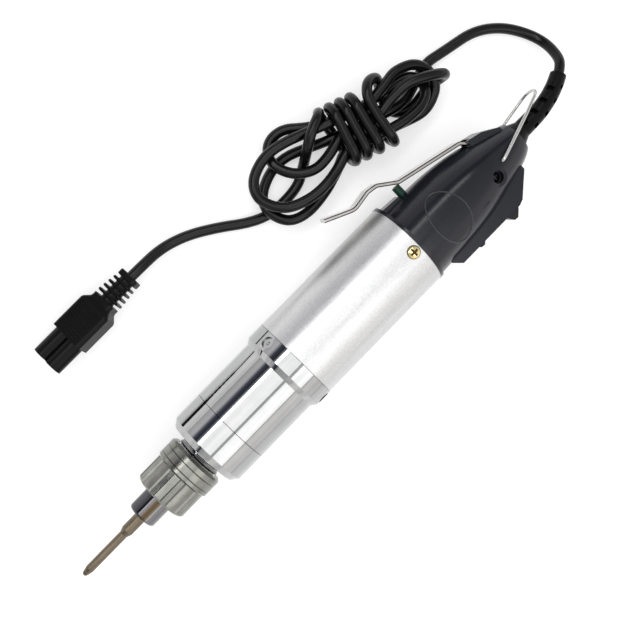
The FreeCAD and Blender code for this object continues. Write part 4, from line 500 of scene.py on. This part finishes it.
class Finish:
    """The shading of one material or of the room; constants go on the shader's own sockets."""

    def __init__(self, owner, shader="Principled BSDF", **constants):
        owner.use_nodes = True
        self.owner = owner
        self.tree = owner.node_tree
        self.shader = self.tree.nodes[shader]
        for socket, value in constants.items():
            self.shader.inputs[socket.replace("_", " ")].default_value = value

    def node(self, kind, settings=None, inputs=None, output=0):
        """Any node: its settings first, then its sockets, each a plain value or a signal."""
        made = self.tree.nodes.new(kind)
        for setting, value in (settings or {}).items():
            if setting == "stops":
                while len(made.color_ramp.elements) < len(value):
                    made.color_ramp.elements.new(1.0)
                for element, (position, colour) in zip(made.color_ramp.elements, value):
                    element.position = position
                    element.color = (*colour, 1)
            else:
                setattr(made, setting, value)
        for socket, value in (inputs or {}).items():
            self.join(made.inputs[socket], value)
        return Signal(self, made.outputs[output])

    def join(self, socket, value):
        if isinstance(value, Signal):
            self.tree.links.new(value.socket, socket)
        else:
            socket.default_value = value

    def feed(self, socket, value):
        self.join(self.shader.inputs[socket], value)

    def place(self, scale=(1, 1, 1)):
        """The surface point in the row frame, in metres, with each direction scaled."""
        here = self.node("ShaderNodeTexCoord", output="Object")
        return self.node("ShaderNodeVectorMath", {"operation": "MULTIPLY"}, {0: here, 1: scale})

    def grain(self, size, detail=2.0, stretch=(1, 1, 1)):
        """Noise with features of a size in millimetres, drawn out along a direction by stretch."""
        scale = tuple(1 / factor for factor in stretch)
        return self.node("ShaderNodeTexNoise", {},
                         {"Vector": self.place(scale), "Scale": 1 / (size * MM), "Detail": detail})

    def coordinates(self, vector):
        """The three parts of a vector as numbers."""
        split = self.node("ShaderNodeSeparateXYZ", {}, {0: vector}).socket.node
        return [Signal(self, split.outputs[i]) for i in range(3)]

    def round_spindle(self, y, z):
        """The angle round the spindle in radians, from straight up towards the switch pod."""
        return self.node("ShaderNodeMath", {"operation": "ARCTAN2"}, {0: y, 1: z})

    def spread(self, amount, low, high):
        """Stretch the range from low to high over 0 to 1, and clip what is outside it."""
        return self.node("ShaderNodeMapRange", {"clamp": True},
                         {"Value": amount, "From Min": low, "From Max": high})

    def shade(self, amount, dark, light):
        """A colour between two, by a number from 0 to 1."""
        ends = [end if isinstance(end, Signal) else (*end, 1) for end in (dark, light)]
        values = {MIX_AMOUNT: amount, MIX_DARK: ends[0], MIX_LIGHT: ends[1]}
        return self.node("ShaderNodeMix", {"data_type": "RGBA"}, values, output=MIX_COLOUR)

    def relief(self, height, depth):
        """Raise the surface by a height signal, over a depth in millimetres."""
        bump = self.node("ShaderNodeBump", {}, {"Strength": 1.0, "Distance": depth * MM, "Height": height})
        self.feed("Normal", bump)


def material(name, **constants):
    return Finish(bpy.data.materials.new(name), **constants)


def mottled(name, size, detail, dark, light, roughness, varies, **constants):
    """A plainer finish: one cloud of grain that shows in its colour and in its roughness alike."""
    finish = material(name, **constants)
    cloud = finish.grain(size, detail)
    finish.feed("Base Color", finish.shade(cloud, dark, light))
    finish.feed("Roughness", cloud * varies + roughness)
    return finish


def dress(finish, *names):
    for name in names:
        mesh = nodes[name].data
        mesh.materials.clear()
        mesh.materials.append(finish.owner)
        mesh.polygons.foreach_set("material_index", [0] * len(mesh.polygons))
    print(finish.owner.name, "on", ", ".join(names))


print("finishes ready")

# %% [markdown]
# The room is what the metal mirrors between the lamps. Round the spindle it goes from a grey wall on the
# lever's side, through one dark blue-black band, to a pale wall on the switch side. The dark band is what
# gives the gear case its one strong dark stripe. A ramp over the angle makes it, because on round metal
# the angle is all that matters.

# %% Room
ROOM_BANDS = [
    (-180, (0.7, 0.7, 0.7)), (-92, (0.72, 0.72, 0.72)), (-66, (0.86, 0.84, 0.87)),
    (-57, (0.1, 0.11, 0.15)), (-47, (0.03, 0.035, 0.06)), (-39, (0.6, 0.6, 0.6)),
    (8, (0.75, 0.75, 0.75)), (50, (0.85, 0.85, 0.84)), (54, (1.3, 1.27, 1.25)),
    (92, (1.1, 1.1, 1.08)), (180, (0.7, 0.7, 0.7)),
]
room = Finish(bpy.data.worlds.new("room"), "Background", Strength=1.0)
towards_y, towards_z = room.coordinates(room.node("ShaderNodeTexCoord", output="Generated"))[1:]
bands = [(0.5 + angle / 360, colour) for angle, colour in ROOM_BANDS]
whole_turns = room.round_spindle(towards_y, towards_z) / (2 * math.pi) + 0.5
room.feed("Color", room.node("ShaderNodeValToRGB", {"stops": bands}, {0: whole_turns}))
scene.world = room.owner
scene.view_settings.view_transform = "Standard"
print("room:", len(bands), "bands round the spindle")

# %% [markdown]
# The floor is a sheet of matt white acrylic, lit softly from below as product tables often are, so the
# shadows stay faint. It has the faintest unevenness, so that it is not a flat tone.

# %% Floor finish
table_top = material("table_top", Roughness=0.9, Specular_IOR_Level=0.1, Emission_Strength=0.55)
uneven = table_top.grain(110)
table_top.feed("Base Color", table_top.shade(uneven, (0.58, 0.58, 0.58), (0.61, 0.61, 0.61)))
table_top.feed("Emission Color", table_top.shade(uneven, (0.94, 0.94, 0.94), (0.97, 0.97, 0.97)))
floor_mesh.materials.append(table_top.owner)
print("floor finished")

# %% [markdown]
# The handle tube is drawn aluminium, blasted to a fine satin and clear anodised: a sparkle of tiny facets,
# much finer than a fingertip feels, over faint lengthwise draw marks. The sparkle goes to colour, roughness
# and relief together, because on the real tube it is one and the same set of facets.

# %% Satin tube
satin_tube = material("satin_tube", Metallic=1.0)
sparkle = satin_tube.grain(0.62)
draw_marks = satin_tube.grain(3.0, detail=3.0, stretch=(14, 1, 1))
satin = sparkle * 0.6 + draw_marks * 0.4
satin_tube.feed("Base Color", satin_tube.shade(satin, (0.36, 0.36, 0.363), (0.8, 0.8, 0.802)))
satin_tube.feed("Roughness", satin * 0.16 + 0.29)
satin_tube.relief(sparkle, depth=0.026)
dress(satin_tube, "body_tube")

# %% [markdown]
# The gear case and its collar are turned and polished. Fine rings run round the axis, far too shallow to
# see one by one, the last strokes of the cloth run lengthwise, and a hairline of dirt sits in each seam:
# where the two lengths of the case meet, and where the collar meets the tube. Two masks along the axis draw
# those hairlines, which are too thin to be worth a groove.

# %% Polished case
CASE_SEAM = 69.0
COLLAR_SEAM = 32.0
SEAM_HALF = 0.12

turned_case = material("turned_case", Metallic=1.0)
rings = turned_case.grain(0.9, stretch=(1, 40, 40))
rubbed = turned_case.grain(7.0, detail=4.0)
strokes = turned_case.grain(2.2, detail=3.0, stretch=(60, 1, 1))
case_x = turned_case.coordinates(turned_case.place())[0]
seam = (abs(case_x - CASE_SEAM * MM) < SEAM_HALF * MM) + (abs(case_x - COLLAR_SEAM * MM) < SEAM_HALF * MM)
polished = turned_case.shade(rubbed * 0.3 + strokes * 0.7, (0.26, 0.265, 0.27), (0.56, 0.56, 0.555))
turned_case.feed("Base Color", turned_case.shade(seam, polished, (0.05, 0.05, 0.055)))
turned_case.feed("Roughness", rings * 0.05 + rubbed * 0.05 + 0.015)
turned_case.relief(rings, depth=0.0015)
dress(turned_case, "gear_case_front", "gear_case_rear", "collar_ring", "collar_set_screws",
      "gear_case_cover")

# %% [markdown]
# The torque nut is nickel plated steel: greyer and a little green, duller in cloudy patches where hands
# have turned it. Large clouds give the patches and fine specks the plating's tooth.

# %% Plated nut
plated_nut = material("plated_nut", Metallic=1.0)
cloud = plated_nut.grain(4.5, detail=5.0)
speck = plated_nut.grain(0.4)
plated_nut.feed("Base Color", plated_nut.shade(cloud, (0.13, 0.13, 0.117), (0.31, 0.31, 0.287)))
plated_nut.feed("Roughness", cloud * 0.14 + speck * 0.08 + 0.14)
plated_nut.relief(speck, depth=0.01)
dress(plated_nut, "torque_nut", "spring_seat", "push_washer")

# %% [markdown]
# The chuck sleeve is hardened steel. Its lever's side is painted darker, as painted shade, and one brown
# streak runs along its upper side. Both are masks over the angle round the spindle, so they run the whole
# length of the sleeve, and noise drawn out lengthwise frays the streak's edges.

# %% Hardened sleeve
STREAK_MIDDLE = math.radians(-3)
STREAK_HALF = math.radians(12)
STREAK_EDGE = 0.08
STREAK_FRAY = 0.2
PAINTED_SHADE_FROM = math.radians(-12)
PAINTED_SHADE_TO = math.radians(-24)

hard_sleeve = material("hard_sleeve", Metallic=1.0)
lathe = hard_sleeve.grain(0.7, stretch=(1, 30, 30))
sleeve_y, sleeve_z = hard_sleeve.coordinates(hard_sleeve.place())[1:]
round_sleeve = hard_sleeve.round_spindle(sleeve_y, sleeve_z)
# painted shade: the sleeve's colour darkens towards the lever's side
painted_side_shade = hard_sleeve.spread(round_sleeve, PAINTED_SHADE_FROM, PAINTED_SHADE_TO)
steel_and_painted_shade = hard_sleeve.shade(painted_side_shade, (0.19, 0.184, 0.19), (0.085, 0.083, 0.092))
frayed = hard_sleeve.grain(3.4, stretch=(20, 1, 1)) * STREAK_FRAY
off_streak = abs(round_sleeve - STREAK_MIDDLE) + frayed - STREAK_FRAY / 2
brown_streak = hard_sleeve.spread(off_streak, STREAK_HALF + STREAK_EDGE, STREAK_HALF - STREAK_EDGE)
hard_sleeve.feed("Base Color", hard_sleeve.shade(brown_streak, steel_and_painted_shade, (0.1, 0.072, 0.042)))
hard_sleeve.feed("Roughness", lathe * 0.1 + brown_streak * 0.1 + 0.08)
hard_sleeve.relief(lathe, depth=0.006)
dress(hard_sleeve, "chuck_sleeve", "spindle", "chuck_retainer", "lock_balls")

# %% [markdown]
# The bit is browned steel all over, in streaks along its length where it was drawn and ground.

# %% Browned bit
bit_steel = material("bit_steel", Metallic=1.0)
browning = bit_steel.grain(1.2, detail=5.0, stretch=(4, 1, 1))
bit_steel.feed("Base Color", bit_steel.shade(browning, (0.1, 0.08, 0.055), (0.24, 0.2, 0.15)))
bit_steel.feed("Roughness", browning * 0.25 + 0.25)
bit_steel.relief(browning, depth=0.02)
dress(bit_steel, "driver_bit")

# %% [markdown]
# The start lever is a chromed strip on edge, with a few fine scratches. Its long corners are broken at a
# slant, and there the chrome is painted dark, a painted reflection. Paint by place would have to follow
# every bend, so the slanted faces are found by their normals, which lie between level, as on the strip's
# broad faces, and upright, as on its narrow ones.

# %% Chromed lever
chrome_strip = material("chrome_strip", Metallic=1.0)
scratch = chrome_strip.grain(1.4, detail=4.0, stretch=(10, 1, 1))
facing = chrome_strip.coordinates(chrome_strip.node("ShaderNodeNewGeometry", output="Normal"))[2]
upright = abs(facing)
# painted reflection: the slanted corners get a dark colour
painted_dark_edge = chrome_strip.spread(upright, 0.3, 0.5) - chrome_strip.spread(upright, 0.85, 0.97)
chrome = chrome_strip.shade(scratch, (0.42, 0.4, 0.385), (0.66, 0.64, 0.62))
chrome_strip.feed("Base Color", chrome_strip.shade(painted_dark_edge, chrome, (0.035, 0.028, 0.025)))
chrome_strip.feed("Roughness", scratch * 0.12 + 0.05)
dress(chrome_strip, "start_lever", "lever_pin")

# %% [markdown]
# The small screws are yellow zinc, browner in patches, with painted shade in the cross and a darker brown
# round the head's rim. Both are masks over each screw's own middle. Three screws sit evenly round the tube,
# so the angle is first counted from the nearest of them.

# %% Yellow zinc screws
SCREW_X = -28.75
SCREW_SPACING = 2 * math.pi / 3
TUBE_RADIUS = 19.0
CROSS_REACH = 1.85
CROSS_TOP = 19.66
HEAD_EDGE = 2.35

yellow_zinc = material("yellow_zinc", Metallic=1.0)
tarnish = yellow_zinc.grain(2.0, detail=3.0)
screw_x, screw_y, screw_z = yellow_zinc.coordinates(yellow_zinc.place())
round_tube = yellow_zinc.round_spindle(screw_y, screw_z) / SCREW_SPACING
nearest = round_tube.through("ROUND", round_tube)
aside = (round_tube - nearest) * (SCREW_SPACING * TUBE_RADIUS * MM)
along = screw_x - SCREW_X * MM
from_axis = aside * aside + along * along
low = (screw_y * screw_y + screw_z * screw_z) < (CROSS_TOP * MM) ** 2
# painted shade: the cross recess is coloured dark brown
cross = low * (from_axis < (CROSS_REACH * MM) ** 2)
rim = from_axis > (HEAD_EDGE * MM) ** 2
zinc = yellow_zinc.shade(tarnish, (0.62, 0.5, 0.22), (0.9, 0.82, 0.52))
zinc = yellow_zinc.shade(rim, zinc, (0.3, 0.21, 0.07))
yellow_zinc.feed("Base Color", yellow_zinc.shade(cross, zinc, (0.07, 0.04, 0.012)))
yellow_zinc.feed("Roughness", tarnish * 0.15 + 0.16)
dress(yellow_zinc, "body_screws")

# %% [markdown]
# The bail and the springs are bright spring wire, drawn through a die that leaves fine lines. Two coil
# springs sit out of sight in the nose. A rigid coil would poke through the sleeve or the seat that slides
# on to it; here each is copied as a piece of its own, hung on its joint's parent body, and the original
# is hidden. The record says which joint presses which spring, and where the still end is.

# %% Spring wire, and copies of the springs
SPRING_PLAY = 0.3 * MM

spring_wire = mottled("spring_wire", size=0.6, detail=3.0, dark=(0.42, 0.42, 0.41), light=(0.66, 0.66, 0.64),
                      roughness=0.1, varies=0.14, Metallic=1.0)
dress(spring_wire, "hanging_bail", "chuck_spring", "torque_spring")
for joint in frame["record"]["behaviour"]["joints"]:
    for pressed in joint.get("deforming_nodes", []):
        name = pressed["node"]
        low_corner, high_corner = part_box(name)
        free_length = high_corner[0] - low_corner[0]
        travel = max(abs(limit) for limit in joint["range_m"]) + SPRING_PLAY
        coil = add_object(name + "_coil", nodes[name].data.copy())
        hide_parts(name)
        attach(coil, joint["parent"])
        (free_length - travel) / free_length
        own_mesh(coil)
        print(coil.name, round(free_length / MM, 1), "mm long, pressed by", round(travel / MM, 1))

# %% [markdown]
# The cap and its pod are black moulded plastic, which is never quite black: it has a cool satin sheen. A
# fine mould grain gives the satin, and wide soft patches show where it is handled most.

# %% Cap moulding
cap_moulding = material("cap_moulding", Specular_IOR_Level=0.34)
mould_grain = cap_moulding.grain(0.3)
handling = cap_moulding.grain(16, detail=4.0)
cap_black = cap_moulding.shade(handling, (0.005, 0.0054, 0.0085), (0.012, 0.0128, 0.019))
cap_moulding.feed("Base Color", cap_black)
cap_moulding.feed("Roughness", mould_grain * 0.06 + handling * 0.1 + 0.14)
cap_moulding.relief(mould_grain, depth=0.008)
dress(cap_moulding, "cap_upper_half", "cap_lower_half", "switch_block")

# %% [markdown]
# Three small mouldings need no more than one cloud of grain each: the oval border, rubbed grey along its
# top; the rocker, a duller black where the thumb rests; and the push pin, a dark green plastic.

# %% Oval border, rocker and push pin
worn_rib = mottled("worn_rib", size=2.2, detail=3.0, dark=(0.012, 0.013, 0.016), light=(0.05, 0.052, 0.058),
                   roughness=0.25, varies=0.2, Specular_IOR_Level=0.4)
oval_curve.materials.append(worn_rib.owner)
print("worn_rib on the oval border")

rocker_moulding = mottled("rocker_moulding", size=5, detail=3.0, dark=(0.004, 0.004, 0.005),
                          light=(0.011, 0.011, 0.013), roughness=0.32, varies=0.2, Specular_IOR_Level=0.3)
dress(rocker_moulding, "rocker")

green_pin = mottled("green_pin", size=2.5, detail=2.0, dark=(0.002, 0.02, 0.012), light=(0.005, 0.05, 0.03),
                    roughness=0.35, varies=0.1, Specular_IOR_Level=0.3)
dress(green_pin, "push_pin")

# %% [markdown]
# The plug and the strain reliefs are a softer black grade than the cap, drier to look at, with a coarser
# grain and scuffs from being dropped and stepped on.

# %% Plug moulding
plug_moulding = material("plug_moulding", Specular_IOR_Level=0.12)
plug_grain = plug_moulding.grain(0.45, detail=3.0)
scuffs = plug_moulding.grain(6, detail=4.0)
plug_black = plug_moulding.shade(scuffs, (0.0014, 0.0014, 0.0016), (0.0036, 0.0038, 0.0036))
plug_moulding.feed("Base Color", plug_black)
plug_moulding.feed("Roughness", plug_grain * 0.1 + scuffs * 0.1 + 0.22)
plug_moulding.relief(plug_grain, depth=0.015)
dress(plug_moulding, "plug_body", "plug_relief", "strain_relief", "microswitch", "motor_end_plate",
      "motor_fan")

# %% [markdown]
# The cord's jacket is smooth soft plastic with long soft highlights. Its skin has a slight orange peel, and
# dust dulls it in patches as long as a finger.

# %% Cord jacket
jacket = material("jacket", Specular_IOR_Level=0.26)
skin = jacket.grain(0.8, detail=3.0)
dusty = jacket.grain(22, detail=3.0)
jacket.feed("Base Color", jacket.shade(dusty, (0.0012, 0.0012, 0.0014), (0.003, 0.003, 0.0034)))
jacket.feed("Roughness", skin * 0.08 + dusty * 0.1 + 0.16)
jacket.relief(skin, depth=0.008)
cord_curve.materials.append(jacket.owner)
print("jacket on cord")

# %% [markdown]
# Inside the case are gears of ground steel, copper windings, dark magnets and bronze bushes. They are
# rarely seen, but the model can be opened, so they are finished too. The screw deep in the cap's recess
# is blackened steel. One cloud of grain each is enough: oil, oxide, turns of wire, grit.

# %% Inner pieces
PLANETS = [f"planet_gear_{stage}_{number}" for stage in (1, 2) for number in (1, 2, 3)]
gear_steel = mottled("gear_steel", size=3.3, detail=4.0, dark=(0.34, 0.34, 0.34), light=(0.58, 0.58, 0.57),
                     roughness=0.2, varies=0.2, Metallic=1.0)
dress(gear_steel, "ring_gear", "first_carrier", "planet_pins_1", "planet_pins_2", "motor_shaft", "armature",
      "motor_can", "clutch_plate", "clutch_pins", "clutch_balls", "motor_front_bearing",
      "motor_rear_bearing", *PLANETS)

black_screw = mottled("black_screw", size=0.8, detail=3.0, dark=(0.02, 0.02, 0.022),
                      light=(0.06, 0.06, 0.062), roughness=0.3, varies=0.2, Metallic=1.0)
dress(black_screw, "cap_screw")

copper = mottled("copper", size=0.7, detail=2.0, dark=(0.45, 0.2, 0.09), light=(0.8, 0.45, 0.25),
                 roughness=0.22, varies=0.2, Metallic=1.0)
dress(copper, "motor_windings", "commutator", "plug_contacts", "front_bush")

magnet = mottled("magnet", size=1.1, detail=4.0, dark=(0.03, 0.03, 0.03), light=(0.09, 0.085, 0.08),
                 roughness=0.5, varies=0.3, Specular_IOR_Level=0.4)
dress(magnet, "motor_magnets", "carbon_brushes")

# %% [markdown]
# The last step updates the scene and hands it over.

# %% Close
bpy.context.view_layer.update()
